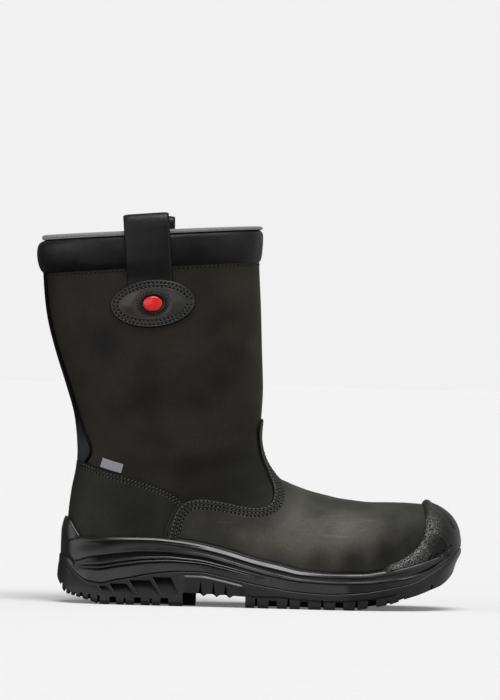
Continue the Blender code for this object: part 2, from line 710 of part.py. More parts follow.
def build_outsole(outline, look):
    """Rubber bottom: plate, side skirt, lugs, arch and toe wrap."""
    seam = lambda x: table_value(SEAM, x) - FIT
    plate = lambda x: table_value(PLATE, x) - FIT
    tread = lambda x: table_value(TREAD, x)
    skirt = lambda x: SKIRT_HEIGHT * seam(x) + (1 - SKIRT_HEIGHT) * tread(x)
    rings = [
        ring_at(outline, lambda x: PLUG_OUT - PLUG_TAPER + GAP, plate, PLUG_OUT),
        ring_at(outline, lambda x: PLUG_OUT + GAP, seam, SEAM_OUT),
        ring_at(outline, lambda x: SEAM_OUT, seam, SEAM_OUT),
        ring_at(outline, lambda x: SKIRT_OUT + (1 - SKIRT_HEIGHT) * tread_tuck(x), skirt),
        ring_at(outline, lambda x: SKIRT_OUT + tread_tuck(x), lambda x: tread(x) + EDGE_HEIGHT),
        ring_at(outline, lambda x: EDGE_OUT + tread_tuck(x), tread),
    ]
    points, faces = [], []
    starts = add_rings(points, faces, rings)
    faces += strip_faces(starts[0], len(outline))
    faces += strip_faces(starts[-1], len(outline))
    outsole = solid("outsole", points, faces, look)
    cut(outsole, tread_slots())
    cut(outsole, tread_channels())
    cut(outsole, arch_hollow())
    cut(outsole, heel_flutes(outline))


def join_prisms(name, shapes):
    """One cutter from several separate side-view outlines, each with its own span of Y."""
    points, faces = [], []
    for outline, near, far in shapes:
        count, start = len(outline), len(points)
        points += [(x, y, z) for y in (near, far) for x, z in outline]
        faces.append(tuple(start + i for i in range(count)))
        faces.append(tuple(start + i for i in range(2 * count - 1, count - 1, -1)))
        for i in range(count):
            k = (i + 1) % count
            faces.append((start + i, start + k, start + count + k, start + count + i))
    return solid(name, points, faces)


def tread_slots():
    """Gaps and slits across the tread, a little wider at the bottom."""
    shapes = []
    for slot in TREAD_SLOTS:
        spread = SLOT_SPREAD * slot.depth
        outline = (
            (slot.start - spread, UNDER_TREAD),
            (slot.start + slot.width + spread, UNDER_TREAD),
            (slot.start + slot.width, slot.depth),
            (slot.start, slot.depth),
        )
        shapes.append((outline, -FAR, FAR))
    return join_prisms("tread_slots", shapes)


def tread_channels():
    """Channels along the tread that part the outer and inner lugs."""
    half = CHANNEL_WIDTH / 2
    heel_end = ARCH_FROM + CHANNEL_INTO_ARCH
    heel = (
        (HEEL_CHANNEL_FROM, UNDER_TREAD),
        (heel_end, UNDER_TREAD),
        (heel_end, CHANNEL_DEPTH),
        (HEEL_CHANNEL_DEEP, CHANNEL_DEPTH),
    )
    front_start = ARCH_TO - CHANNEL_INTO_ARCH
    toe_rise = table_value(TREAD, FOREFOOT_CHANNEL_TO)
    front = (
        (front_start, UNDER_TREAD),
        (FOREFOOT_CHANNEL_TO, UNDER_TREAD),
        (FOREFOOT_CHANNEL_TO, CHANNEL_DEPTH + toe_rise),
        (FOREFOOT_CHANNEL_RISE, CHANNEL_DEPTH),
        (front_start, CHANNEL_DEPTH),
    )
    shapes = [(heel, HEEL_CHANNEL_Y - half, HEEL_CHANNEL_Y + half)]
    shapes += [(front, y - half, y + half) for y in FOREFOOT_CHANNELS]
    return join_prisms("tread_channels", shapes)


def arch_hollow():
    """Raised arch between the heel breast and the forefoot, with three small ribs left across it."""
    wave = []
    for x, z in curve(ARCH_HEIGHTS, ARCH_STEPS):
        rib = max(math.exp(-((x - middle) / ARCH_RIB) ** 2) for middle in ARCH_RIBS)
        wave.append((x, z - ARCH_RIB * rib))
    return prism("arch_hollow", [(ARCH_FROM, UNDER_TREAD), *wave, (ARCH_TO, UNDER_TREAD)])


def heel_flutes(outline):
    """Cutters for the slanted hollows on both sides of the heel."""
    shapes = []
    for flute in FLUTES:
        hollow = (
            (flute.top_back, flute.top_z),
            (flute.top_front, flute.top_z),
            (flute.low_front, flute.low_z),
            (flute.low_back, flute.low_z),
        )
        middle = 0.25 * sum((flute.top_back, flute.top_front, flute.low_back, flute.low_front))
        depth = heel_half_width(outline, middle) - FLUTE_DEPTH
        shapes += [(hollow, -FAR, -depth), (hollow, depth, FAR)]
    return join_prisms("heel_flutes", shapes)


def heel_half_width(outline, x):
    """Half of the outsole's width by its heel, on the narrower side."""
    near = [spot for spot, way in outline if abs(spot.x - x) < FLUTE_REACH and abs(way.y) > abs(way.x)]
    return min(abs(spot.y) for spot in near) + SKIRT_OUT


def settle():
    """Puts the origin under the middle of the boot, on the floor."""
    bpy.context.view_layer.update()
    graph = bpy.context.evaluated_depsgraph_get()
    corners = []
    for made in bpy.context.scene.objects:
        if made.type == "MESH" and not made.hide_render:
            seen = made.evaluated_get(graph)
            corners += [seen.matrix_world @ Vector(corner) for corner in seen.bound_box]
    middle = [(min(c[i] for c in corners) + max(c[i] for c in corners)) / 2 for i in (0, 1)]
    BOOT.location = (-middle[0], -middle[1], -min(c.z for c in corners))


for old in list(bpy.data.objects):
    bpy.data.objects.remove(old)
BOOT = bpy.data.objects.new("boot", None)
bpy.context.scene.collection.objects.link(BOOT)

leather = material("leather", (0.030, 0.029, 0.027), 0.62)
vamp_leather = material("vamp_leather", (0.034, 0.032, 0.029), 0.60)
counter_leather = material("counter_leather", (0.030, 0.029, 0.027), 0.60)
strip_leather = material("strip_leather", (0.032, 0.032, 0.032), 0.62)
cuff_leather = material("cuff_leather", (0.032, 0.031, 0.029), 0.60)
lining = material("lining", (0.060, 0.068, 0.070), 0.90)
rubber = material("rubber", (0.026, 0.027, 0.029), 0.50)
foam = material("foam", (0.030, 0.031, 0.033), 0.45)
cap_rubber = material("cap_rubber", (0.036, 0.036, 0.036), 0.50)
footbed = material("footbed", (0.045, 0.045, 0.047), 0.90)
strap_leather = material("strap_leather", (0.024, 0.024, 0.024), 0.50)
medial_strap = material("medial_strap", (0.024, 0.024, 0.024), 0.50)
patch_leather = material("patch_leather", (0.036, 0.035, 0.034), 0.55)
medial_patch = material("medial_patch", (0.036, 0.035, 0.034), 0.55)
badge_red = material("badge_red", (0.45, 0.020, 0.025), 0.35)
tag_weave = material("tag_weave", (0.30, 0.31, 0.33), 0.70)

under_foot = below_footbed("under_foot", 0.0)
outline = sole_outline()

build_outsole(outline, rubber)
build_midsole(outline, foam)
build_insole(footbed, under_foot)
build_upper(leather, under_foot)
build_vamp(vamp_leather, under_foot)
build_counter(counter_leather, under_foot)
build_back_strip(strip_leather)
build_toe_cap(cap_rubber)
build_cuff(cuff_leather)
build_lining_rim(lining)
build_loop("pull_loop_lateral", -1, strap_leather)
build_loop("pull_loop_medial", 1, medial_strap)
build_patch("loop_patch_lateral", -1, patch_leather)
build_patch("loop_patch_medial", 1, medial_patch)
build_badge(badge_red)
build_tag(tag_weave)
settle()
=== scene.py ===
"""Looks of a pull-on work boot for the right foot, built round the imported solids.

Lengths are in millimetres, with X from the back of the heel, until place() takes them into the frame."""

import math
from collections import namedtuple

import bmesh
import bpy
import numpy as np
from mathutils import Matrix, Vector
from mathutils.geometry import delaunay_2d_cdt
from mathutils.kdtree import KDTree


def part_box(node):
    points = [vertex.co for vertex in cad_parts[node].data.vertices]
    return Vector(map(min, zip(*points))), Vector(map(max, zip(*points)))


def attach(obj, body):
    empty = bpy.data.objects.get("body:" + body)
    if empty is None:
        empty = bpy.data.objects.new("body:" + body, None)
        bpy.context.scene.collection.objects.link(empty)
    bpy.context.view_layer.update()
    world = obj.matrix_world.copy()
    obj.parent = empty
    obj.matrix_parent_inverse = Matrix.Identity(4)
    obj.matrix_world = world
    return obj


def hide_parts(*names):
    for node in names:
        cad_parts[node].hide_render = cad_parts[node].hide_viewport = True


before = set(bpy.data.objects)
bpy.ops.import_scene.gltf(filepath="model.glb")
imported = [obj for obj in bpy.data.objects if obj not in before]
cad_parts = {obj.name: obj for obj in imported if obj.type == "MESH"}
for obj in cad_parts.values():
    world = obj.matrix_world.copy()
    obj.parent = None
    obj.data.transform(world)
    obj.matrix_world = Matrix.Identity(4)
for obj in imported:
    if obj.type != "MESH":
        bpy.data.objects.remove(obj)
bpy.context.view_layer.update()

MM = 0.001
SIDES = (-1, 1)


def rows_of(kind, *rows):
    """A table of named rows."""
    return tuple(kind(*row) for row in rows)


# Sizes shared with the solids
WALL, GAP, OVERLAY, CAP_THICKNESS = 2.2, 0.3, 1.6, 3.2
OVERLAY_OUT = GAP + OVERLAY
TUB_OUT = OVERLAY_OUT + GAP
CAP_OUT = TUB_OUT + CAP_THICKNESS
STRIP_OUT, PATCH_OUT = 1.5, 2.3
FIT = 0.15

# Sections of the upper's outer face, from the collar round the ankle to the toe
Section = namedtuple(
    "Section", "front_x front_z back_x back_z centre_y lateral medial widest front_power back_power"
)
SECTIONS = rows_of(
    Section,
    (149.5, 290, -16, 278, 0, 44, 44, 0.5, 2.2, 2.2),
    (149.8, 264.6, -15.3, 252, 0, 43.5, 43.5, 0.5, 2.2, 2.2),
    (152, 229, -11.9, 222, 0, 42.5, 42.5, 0.5, 2.2, 2.2),
    (153.5, 198, -5.5, 197, 0, 41.5, 41.5, 0.5, 2.2, 2.2),
    (155, 167, 4.1, 168, 0, 40, 40, 0.5, 2.2, 2.2),
    (154.2, 145, 10.8, 146, 0, 38.5, 38.5, 0.5, 2.2, 2.2),
    (153.4, 129, 13.9, 123, 0, 37.5, 37.5, 0.49, 2.2, 2.3),
    (155.9, 117, 13.8, 105, 0, 37, 36.5, 0.48, 2.2, 2.4),
    (160.5, 107.5, 10.6, 86.5, 0, 36.5, 36, 0.46, 2.3, 2.5),
    (168, 97.8, 8.5, 66, 0, 36, 35.5, 0.44, 2.4, 2.6),
    (175, 94.2, 8.6, 47, 0, 36, 35, 0.43, 2.4, 2.7),
    (182.5, 91.2, 14, 29, 0, 36.5, 35, 0.42, 2.4, 2.8),
    (192, 88, 46, 20, 0, 38, 35.5, 0.41, 2.4, 2.9),
    (204, 85.1, 92, 17, 0, 40, 36.5, 0.4, 2.4, 3),
    (219, 82.2, 142, 12, 0, 45, 40.5, 0.38, 2.4, 3.2),
    (237, 80.2, 186, 8.5, 0.5, 49.5, 46, 0.37, 2.3, 3.4),
    (255, 80.3, 222, 8, 2, 49, 47.5, 0.37, 2.4, 3.6),
    (271, 80, 250, 10, 4, 45.5, 44, 0.38, 2.5, 3.8),
    (284, 78.6, 272, 15, 6, 39, 37.5, 0.4, 2.6, 3.8),
    (294, 73.6, 289, 22, 7.5, 30, 29.5, 0.44, 2.6, 3.4),
    (300.6, 65.5, 299, 33, 8.5, 19, 19, 0.48, 2.4, 2.8),
    (303.7, 50, 303.7, 50, 9, 0, 0, 0.5, 2, 2),
)
TOE = len(SECTIONS) - 1

# Heights along the sole, as rows of x and z
FOOTBED = ((0, 28.5), (40, 27), (97, 24), (125, 20.5), (165, 16), (208, 14.5), (240, 15.5), (265, 19),
           (285, 25.5), (300, 33), (312, 39))
RIM = ((-4, 65), (2.5, 66), (6, 64.5), (11, 57.4), (16.5, 51.4), (24, 50.8), (37, 51.5), (70, 51.9),
       (91, 50.5), (111, 47.7), (131, 43), (151, 37.4), (171, 33), (187.5, 29.3), (211.5, 27.8), (235, 28.3),
       (250, 30.6), (266, 33.8), (281, 38.2), (291, 41.8), (300, 47.4), (306, 52.2), (309, 54.5), (315, 56))
RIB = ((0, 41), (8, 34.5), (14, 32.8), (23, 35.6), (35, 38), (53, 40.4), (68, 41.4), (82, 41.4), (97, 40),
       (109, 38.7), (128, 34.5), (148, 29), (165, 24.7), (190, 21), (218, 20), (237, 20.6), (253, 22.4),
       (268, 24.8), (277, 27.4), (287, 32.6), (298, 40.2), (309, 49.2), (315, 51.6))
SEAM = ((-4, 38), (5.3, 36), (8.5, 30.5), (16, 22), (23.5, 17.5), (33, 16), (46, 19), (57, 21), (68, 23.4),
        (83, 25.6), (97, 26.6), (110, 26.5), (125, 24), (148, 19), (165, 16), (179, 13.7), (192, 12.7),
        (208, 12), (224, 12.7), (237, 14), (256, 17.5), (272, 21.4), (288, 30.4), (301, 39.6), (309, 47.4),
        (315, 50))
PLATE = ((0, 17), (16, 14.5), (33, 12.5), (60, 14), (97, 16.5), (125, 15), (146, 12), (170, 10), (208, 9.2),
         (226, 9.4), (241, 10.5), (254, 12), (268, 14.8), (287, 20.5), (300, 27), (312, 33))
TREAD = ((-4, 20), (-0.5, 18), (2.7, 13.5), (5.7, 8.6), (9.8, 6.6), (14.2, 5.6), (22, 3.6), (29, 1.5),
         (33, 0), (226, 0), (241, 2.5), (254, 4.8), (263, 7.6), (268, 9.6), (277, 12.4), (287, 16.4),
         (295, 19.8), (303, 27), (307, 33), (312, 40))
HEEL_MIDDLE, TOE_MIDDLE = (44, 0), (258, 5)

# Fineness of the meshes
SKIN_STEP, INSIDE_STEP, SOLE_STEP = 2.0, 4.5, 1.3
EDGE_STEP, LINE_STEP = 0.8, 0.3

# Where the heel's back and the middle line lie in the frame
WIDEST_Y = min(row.centre_y - row.lateral for row in SECTIONS)
ORIGIN = np.array(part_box("upper")[0]) - MM * np.array((SECTIONS[0].back_x, WIDEST_Y, 0.0))
ORIGIN[2] = 0.0


def place(points):
    """Points in millimetres, in metres in the frame."""
    return np.asarray(points, float) * MM + ORIGIN


# Curves and the upper's form

def rows_at(table, s):
    """Rows of a table at the places s, on a smooth curve through its whole rows."""
    table = np.asarray(table, float)
    last = len(table) - 1
    s = np.clip(np.asarray(s, float), 0, last)
    i = np.minimum(s.astype(int), last - 1)
    t = (s - i)[..., None]
    a, b, c, d = (table[np.clip(i + k, 0, last)] for k in (-1, 0, 1, 2))
    bent, twisted = 2 * a - 5 * b + 4 * c - d, 3 * b - a - 3 * c + d
    return 0.5 * (2 * b + (c - a) * t + bent * t ** 2 + twisted * t ** 3)


def curve(points, steps=10):
    return rows_at(points, np.linspace(0, len(points) - 1, (len(points) - 1) * steps + 1))


def table_at(rows, x):
    """Heights at x through a table of x and z, by a smooth curve that doesn't overshoot."""
    rows = np.asarray(rows, float)
    x = np.clip(x, rows[0, 0], rows[-1, 0])
    step = np.diff(rows[:, 0])
    slope = np.diff(rows[:, 1]) / step
    before, after = slope[:-1], slope[1:]
    level = before * after <= 0
    middle = np.where(level, 0.0, 2 * before * after / np.where(level, 1.0, before + after))
    tangent = np.concatenate((slope[:1], middle, slope[-1:]))
    i = np.clip(np.searchsorted(rows[:, 0], x, side="right") - 1, 0, len(step) - 1)
    t = (x - rows[i, 0]) / step[i]
    return (
        rows[i, 1] * (1 + 2 * t) * (1 - t) ** 2
        + tangent[i] * step[i] * t * (1 - t) ** 2
        + rows[i + 1, 1] * t * t * (3 - 2 * t)
        - tangent[i + 1] * step[i] * t * t * (1 - t)
    )


def part_way(x, start, full):
    """Share, from 0 to 1, of the way from a start to where something is full."""
    return np.clip((x - start) / (full - start), 0, 1)


def eased(x, start, full):
    """The same with soft ends."""
    t = part_way(x, start, full)
    return t * t * (3 - 2 * t)


def bell(*ways):
    """Share that falls off softly from 1 where all of some distances are 0."""
    return np.exp(-sum(way ** 2 for way in ways))


def unit(v):
    return v / np.maximum(np.linalg.norm(v, axis=-1, keepdims=True), 1e-9)


def lengths(points):
    """How far along a line each of its points lies."""
    return np.concatenate(([0], np.cumsum(np.linalg.norm(np.diff(points, axis=0), axis=-1))))


def along_line(line, spots):
    """Points of a line at distances along it."""
    length = lengths(line)
    return np.stack([np.interp(spots, length, column) for column in np.transpose(line)], -1)


def even_polyline(line, step):
    whole = lengths(np.asarray(line, float))[-1]
    return along_line(line, np.linspace(0, whole, int(whole / step) + 2))


def turn_steps(count):
    return np.linspace(0, 2 * math.pi, count, endpoint=False)


def form(s, a):
    """Points of the upper's outer face: section s, turned from front (0) to back (pi) by the inner side."""
    s, a = np.broadcast_arrays(np.asarray(s, float), np.asarray(a, float))
    row = Section(*np.moveaxis(rows_at(SECTIONS, s), -1, 0))
    cosine, sine = np.cos(a), np.sin(a)
    front = cosine >= 0
    power = np.where(front, row.front_power, row.back_power)
    reach = np.abs(cosine) ** (2 / power)
    along = np.where(front, row.widest + (1 - row.widest) * reach, row.widest * (1 - reach))
    half = np.where(sine >= 0, row.medial, -row.lateral)
    return np.stack((
        row.back_x + along * (row.front_x - row.back_x),
        row.centre_y + half * np.abs(sine) ** (2 / power),
        row.back_z + along * (row.front_z - row.back_z),
    ), -1)


def form_slopes(s, a):
    """Directions along the sections and round them, per unit of s and of turn."""
    small = 0.02
    s = np.clip(s, small, TOE - 3 * small)
    along = (form(s + small, a) - form(s - small, a)) / (2 * small)
    round_it = (form(s, a + small) - form(s, a - small)) / (2 * small)
    return along, round_it


def form_normal(s, a):
    """Outward directions of the upper's outer face."""
    return unit(np.cross(*form_slopes(s, a)))


# Soft troughs in the leather, and ridges where the depth is below zero
# Each has its middle in the side view, the way the line runs, half its length and width, depth and side
Crease = namedtuple("Crease", "x z degrees length width depth side")
CREASES = rows_of(
    Crease,
    (118, 104, 14, 38, 7, 0.7, -1), (108, 117, 10, 34, 6, -0.6, -1), (60, 128, -22, 32, 8, 0.6, -1),
    (98, 150, 6, 40, 10, 0.5, -1), (112, 190, 62, 50, 15, -0.7, -1), (40, 190, 74, 45, 13, 0.6, -1),
    (206, 66, 68, 24, 6, 0.35, -1), (222, 64, 72, 24, 7, -0.3, -1), (118, 102, 12, 36, 7, 0.7, 1),
    (100, 116, 8, 36, 7, -0.6, 1), (70, 132, -16, 32, 8, 0.7, 1), (96, 176, 55, 50, 14, 0.6, 1),
    (208, 66, 66, 24, 6, 0.35, 1),
)
CREASE_BLEND = 5.0


def turned_about(x, z, middle, angle):
    """Places in the side view, measured from a middle along a tilted line and across it."""
    x, z = x - middle[0], z - middle[1]
    return x * math.cos(angle) + z * math.sin(angle), z * math.cos(angle) - x * math.sin(angle)


def crease(points):
    """How far the creases move points of the leather outward."""
    x, y, z = np.moveaxis(points, -1, 0)
    moved = np.zeros_like(x)
    for row in CREASES:
        u, v = turned_about(x, z, (row.x, row.z), math.radians(row.degrees))
        near_side = 1 / (1 + np.exp(-row.side * y / CREASE_BLEND))
        moved -= row.depth * near_side * bell(u / row.length, v / row.width)
    return moved


def skin(s, a, out):
    """Points at a distance out from the creased leather."""
    spot = form(s, a)
    return spot + (out + crease(spot))[..., None] * form_normal(s, a)


def locate(x, z):
    """Section and turn, on the inner side, of places in the side view."""
    x, z = np.broadcast_arrays(np.asarray(x, float), np.asarray(z, float))
    low, high = np.zeros(x.shape), np.full(x.shape, float(TOE))
    for _ in range(50):
        middle = (low + high) / 2
        row = Section(*np.moveaxis(rows_at(SECTIONS, middle), -1, 0))
        along = np.clip((x - row.back_x) / np.maximum(row.front_x - row.back_x, 1e-6), 0, 1)
        above = row.back_z + along * (row.front_z - row.back_z) > z
        low, high = np.where(above, middle, low), np.where(above, high, middle)
    front = along >= row.widest
    reach = np.where(front, (along - row.widest) / (1 - row.widest), 1 - along / row.widest)
    cosine = np.where(front, reach ** (row.front_power / 2), -reach ** (row.back_power / 2))
    return low, np.arccos(np.clip(cosine, -1, 1))


def even_stations(first, last, step):
    """Places along the sections whose rings lie about a step apart."""
    fine = np.linspace(first, last, 400)
    lines = np.stack([form(fine, a) for a in (0.0, math.pi / 2, math.pi)])
    run = np.linalg.norm(np.diff(lines, axis=1), axis=-1).max(axis=0)
    length = np.concatenate(([0], np.cumsum(run)))
    return np.interp(np.linspace(0, length[-1], int(length[-1] / step) + 1), length, fine)


def even_turns(s, count):
    """Turns that part each ring into even steps: count steps round each half."""
    fine = np.linspace(0, math.pi, 361)
    turns = np.empty((len(s), 2 * count))
    for side in SIDES:
        for ring, row in zip(form(s[:, None], side * fine), turns):
            length = lengths(ring)
            half = np.interp(np.linspace(0, length[-1], count + 1), length, fine)
            if side > 0:
                row[: count + 1] = half
            else:
                row[count + 1:] = -half[count - 1:0:-1]
    return turns


def skin_rings(first, last, step, count, out):
    """Even rings of the creased leather, at a distance out from it."""
    stations = even_stations(first, last, step)
    return skin(stations[:, None], even_turns(stations, count), out)


# Meshes

def link(name, data):
    """A new object in the scene."""
    made = bpy.data.objects.new(name, data)
    bpy.context.scene.collection.objects.link(made)
    return made


def ring_faces(rows, count, start=0):
    """Faces between rings of points that follow each other."""
    i, j = np.meshgrid(np.arange(rows - 1), np.arange(count), indexing="ij")
    k = (j + 1) % count
    corners = np.stack((i * count + j, i * count + k, (i + 1) * count + k, (i + 1) * count + j), -1)
    return (start + corners.reshape(-1, 4)).tolist()


def end_faces(rows, count, start=0):
    """Faces that close the first and the last of those rings."""
    last = start + (rows - 1) * count
    return [list(range(start, start + count))[::-1], list(range(last, last + count))]


def add_object(name, points, faces, look):
    """A smooth mesh from points in millimetres."""
    mesh = bpy.data.meshes.new(name)
    mesh.from_pydata(place(points).reshape(-1, 3).tolist(), [], faces)
    mesh.materials.append(look)
    mesh.shade_smooth()
    return link(name, mesh)


def tube(name, rings, look, more=()):
    """A mesh of rings of points, with more faces than those between the rings if given."""
    return add_object(name, rings, ring_faces(len(rings), len(rings[0])) + list(more), look)


def points_of(made):
    """Points of a mesh, in millimetres."""
    return (np.array([v.co for v in made.data.vertices]) - ORIGIN) / MM


def change_mesh(made, change):
    work = bmesh.new()
    work.from_mesh(made.data)
    change(work)
    work.to_mesh(made.data)
    work.free()


def face_outward(made):
    change_mesh(made, lambda work: bmesh.ops.recalc_face_normals(work, faces=work.faces))
    return made


def drop_below_footbed(made, lift):
    """Opens a tube underneath, at a height over the footbed."""
    x, _, z = points_of(made).T
    low = z < table_at(FOOTBED, x) + lift

    def drop(work):
        below = [vert for vert, is_low in zip(work.verts, low) if is_low]
        bmesh.ops.delete(work, geom=below, context="VERTS")

    change_mesh(made, drop)


def wear(made, slot, *nodes):
    """Joins a piece to the boot, in place of the solids that it stands for."""
    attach(made, "root")
    if nodes:
        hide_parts(*nodes)


def add_values(made, name, values):
    """A number for each point of a mesh, for its material."""
    layer = made.data.attributes.new(name, "FLOAT", "POINT")
    layer.data.foreach_set("value", np.asarray(values, np.float32))


def tree_of(points):
    """A tree that finds the nearest of some points."""
    tree = KDTree(len(points))
    for i, spot in enumerate(points):
        tree.insert(spot, i)
    tree.balance()
    return tree


def distances(points, line):
    """Distance from each point to the nearest of a line's points."""
    tree = tree_of(line)
    return np.array([tree.find(p)[2] for p in points])


# Panels sewn on the upper

TURN_SCALE, SECTION_SCALE = 45.0, 14.0
EDGE_ROWS = (0.08, 0.3, 0.62, 1.0, 1.5)
EDGE_KEEP, FILL_KEEP = 0.75, 0.5


def flatten(s, a):
    return np.stack((a * TURN_SCALE, s * SECTION_SCALE), -1)


def even_line(s, a, step, closed=False):
    """A line on the upper's face, with its points about a step apart."""
    if closed:
        s, a = np.append(s, s[0]), np.append(a, a[0])
    fine = np.linspace(0, len(s) - 1, len(s) * 12)
    index = np.arange(len(s))
    s, a = np.interp(fine, index, s), np.interp(fine, index, a)
    length = lengths(form(s, a))
    spots = np.linspace(0, length[-1], max(int(length[-1] / step), 3) + 1)
    if closed:
        spots = spots[:-1]
    return np.interp(spots, length, s), np.interp(spots, length, a)


def line_ways(points, closed):
    if closed:
        return unit(np.roll(points, -1, axis=0) - np.roll(points, 1, axis=0))
    return unit(np.gradient(points, axis=0))


def step_aside(s, a, distance, closed=False, steps=4):
    """Moves a line on the upper's face sideways, to the left of its run as seen from outside."""
    for _ in range(steps):
        along, round_it = form_slopes(s, a)
        normal = unit(np.cross(along, round_it))
        aside = unit(np.cross(normal, line_ways(form(s, a), closed)))
        pairs = ((along, along), (along, round_it), (round_it, round_it), (along, aside), (round_it, aside))
        ss, sr, rr, bs, br = ((p * q).sum(-1) for p, q in pairs)
        whole = ss * rr - sr * sr
        s = np.clip(s + distance / steps * (rr * bs - sr * br) / whole, 0, TOE - 0.02)
        a = a + distance / steps * (ss * br - sr * bs) / whole
    return s, a


def inside_loop(points, loop):
    """Which flat points lie inside a closed flat loop."""
    found = np.zeros(len(points), bool)
    x, y = points.T
    for (x0, y0), (x1, y1) in zip(loop, np.roll(loop, -1, axis=0)):
        if y0 != y1:
            found ^= ((y0 > y) != (y1 > y)) & (x < x0 + (y - y0) * (x1 - x0) / (y1 - y0))
    return found


def fill_points(s, a, step):
    """Even points over the stretch of the upper that a loop spans."""
    stations = even_stations(s.min(), s.max(), step)
    girth = lengths(form(0.5 * (s.min() + s.max()), np.linspace(0, math.pi, 90)))[-1]
    turns = even_turns(stations, int(girth / step))
    turns[1::2] = np.roll(turns[1::2], 1, axis=1) * 0.5 + turns[1::2] * 0.5
    middle = 0.5 * (a.min() + a.max())
    turns = (turns - middle + math.pi) % (2 * math.pi) - math.pi + middle
    return np.repeat(stations, turns.shape[1]), turns.ravel()


def panel(name, line, look, base, thickness, round_edge, step, lift=None):
    """A sewn-on panel inside a closed line on the upper's face, with a rounded edge.

    lift gives a further distance out from the distance to the edge and the points."""
    s, a = even_line(*line, EDGE_STEP, closed=True)
    loop = flatten(s, a)
    area = (loop[:, 0] * np.roll(loop[:, 1], -1) - np.roll(loop[:, 0], -1) * loop[:, 1]).sum()
    edge = form(*even_line(s, a, LINE_STEP, closed=True))
    flat = [loop]
    way = -1 if area > 0 else 1
    for share in EDGE_ROWS:
        inset = share * round_edge
        row = step_aside(s, a, way * inset, closed=True, steps=2)
        keep = distances(form(*row), edge) > EDGE_KEEP * inset
        keep &= inside_loop(flatten(*row), loop)
        flat.append(flatten(*row)[keep])
    fill_s, fill_a = fill_points(s, a, step)
    keep = inside_loop(flatten(fill_s, fill_a), loop)
    fill_s, fill_a = fill_s[keep], fill_a[keep]
    keep = distances(form(fill_s, fill_a), edge) > EDGE_ROWS[-1] * round_edge + FILL_KEEP * step
    flat.append(flatten(fill_s, fill_a)[keep])
    spots = [Vector(p) for p in np.concatenate(flat)]
    found, _, faces, *_ = delaunay_2d_cdt(spots, [], [list(range(len(loop)))], 1, 1e-5)
    found = np.array([tuple(p) for p in found])
    a, s = found[:, 0] / TURN_SCALE, found[:, 1] / SECTION_SCALE
    inset = distances(form(s, a), edge)
    out = base + thickness * np.sqrt(1 - (1 - np.minimum(inset / round_edge, 1)) ** 2)
    if lift is not None:
        out = out + lift(inset, form(s, a))
    made = add_object(name, skin(s, a, out), [list(face) for face in faces], look)
    add_values(made, "edge_mm", inset)
    face_like_skin(made, s, a)
    return made


def face_like_skin(made, s, a):
    """Turns a panel's faces to point out of the boot."""
    normal = form_normal(s, a)
    some = list(made.data.polygons)[:200]
    if sum(Vector(normal[face.vertices[0]]).dot(face.normal) for face in some) < 0:
        made.data.flip_normals()


def side_line(points, side):
    """A side-view line as sections and turns on one side."""
    s, a = locate(*np.asarray(points, float).T)
    return s, side * a


def side_lines(points):
    return [side_line(points, side) for side in SIDES]


def loop_of(*lines):
    return tuple(np.concatenate(parts) for parts in zip(*lines))


def turned(line):
    return line[0][::-1], line[1][::-1]


def back_loop(points):
    """A side-view line on both sides, joined round the back."""
    outer, inner = ((s, np.where(a < 0, a + 2 * math.pi, a)) for s, a in side_lines(points))
    return loop_of(outer, turned(inner))


# Stitches, with thread and dark needle holes of painted shade, each of a length, a width and a height

StitchRow = namedtuple("StitchRow", "points normals ways")
Sewing = namedtuple("Sewing", "first pitch count")
GRAIN_ROUND, GRAIN_STEPS, HOLE_ROUND = 6, 4, 8


def insets(sewing):
    """Distances from the edge, and whether that row starts half a stitch later."""
    return [(sewing.first + i * sewing.pitch, i == 1) for i in range(sewing.count)]


def stitch_row(s, a, out, pitch, later=False):
    """Places of even stitches along a line on the upper's face, from its start or half a pitch later."""
    s, a = (row[int(later)::2] for row in even_line(s, a, pitch / 2))
    points = skin(s, a, out)
    return StitchRow(points, form_normal(s, a), line_ways(points, False))


def edge_rows(edge, way, sewing, out, pitch):
    """Rows of stitches along an edge of the side view, on both sides."""
    return [
        stitch_row(*step_aside(*side_line(curve(edge), side), way * side * inset), out, pitch, later)
        for side in SIDES
        for inset, later in insets(sewing)
    ]


def scatter(name, rows, shape, faces, look, slot):
    """Copies of a small shape at places on the leather, given along their ways, across and outward."""
    spots, normals, ways = (np.concatenate(parts) for parts in zip(*rows))
    points = spots[:, None]
    for amounts, direction in zip(shape, (ways, unit(np.cross(normals, ways)), normals)):
        points = points + amounts[:, None] * direction[:, None]
    starts = len(shape[0]) * np.arange(len(spots))[:, None, None]
    corners = (starts + np.array(faces)).reshape(-1, len(faces[0])).tolist()
    wear(add_object(name, points, corners, look), slot)


def stitches(name, rows, size, look, slot):
    """Raised threads, each a small closed grain along its row."""
    length, width, height = size
    turns = turn_steps(GRAIN_ROUND)
    ends = np.linspace(-1, 1, GRAIN_STEPS + 1)[:, None]
    swell = np.sqrt(np.maximum(1 - np.abs(ends) ** 3, 0.05))
    across, up = 0.5 * width * swell * np.cos(turns), height * swell * np.sin(turns)
    along = np.broadcast_to(0.5 * length * ends, across.shape)
    cap = np.array(((0, 1, 2, 3), (0, 3, 4, 5)))
    caps = np.concatenate((cap[:, ::-1], cap + GRAIN_STEPS * GRAIN_ROUND)).tolist()
    faces = ring_faces(GRAIN_STEPS + 1, GRAIN_ROUND) + caps
    scatter(name, rows, (along.ravel(), across.ravel(), up.ravel()), faces, look, slot)


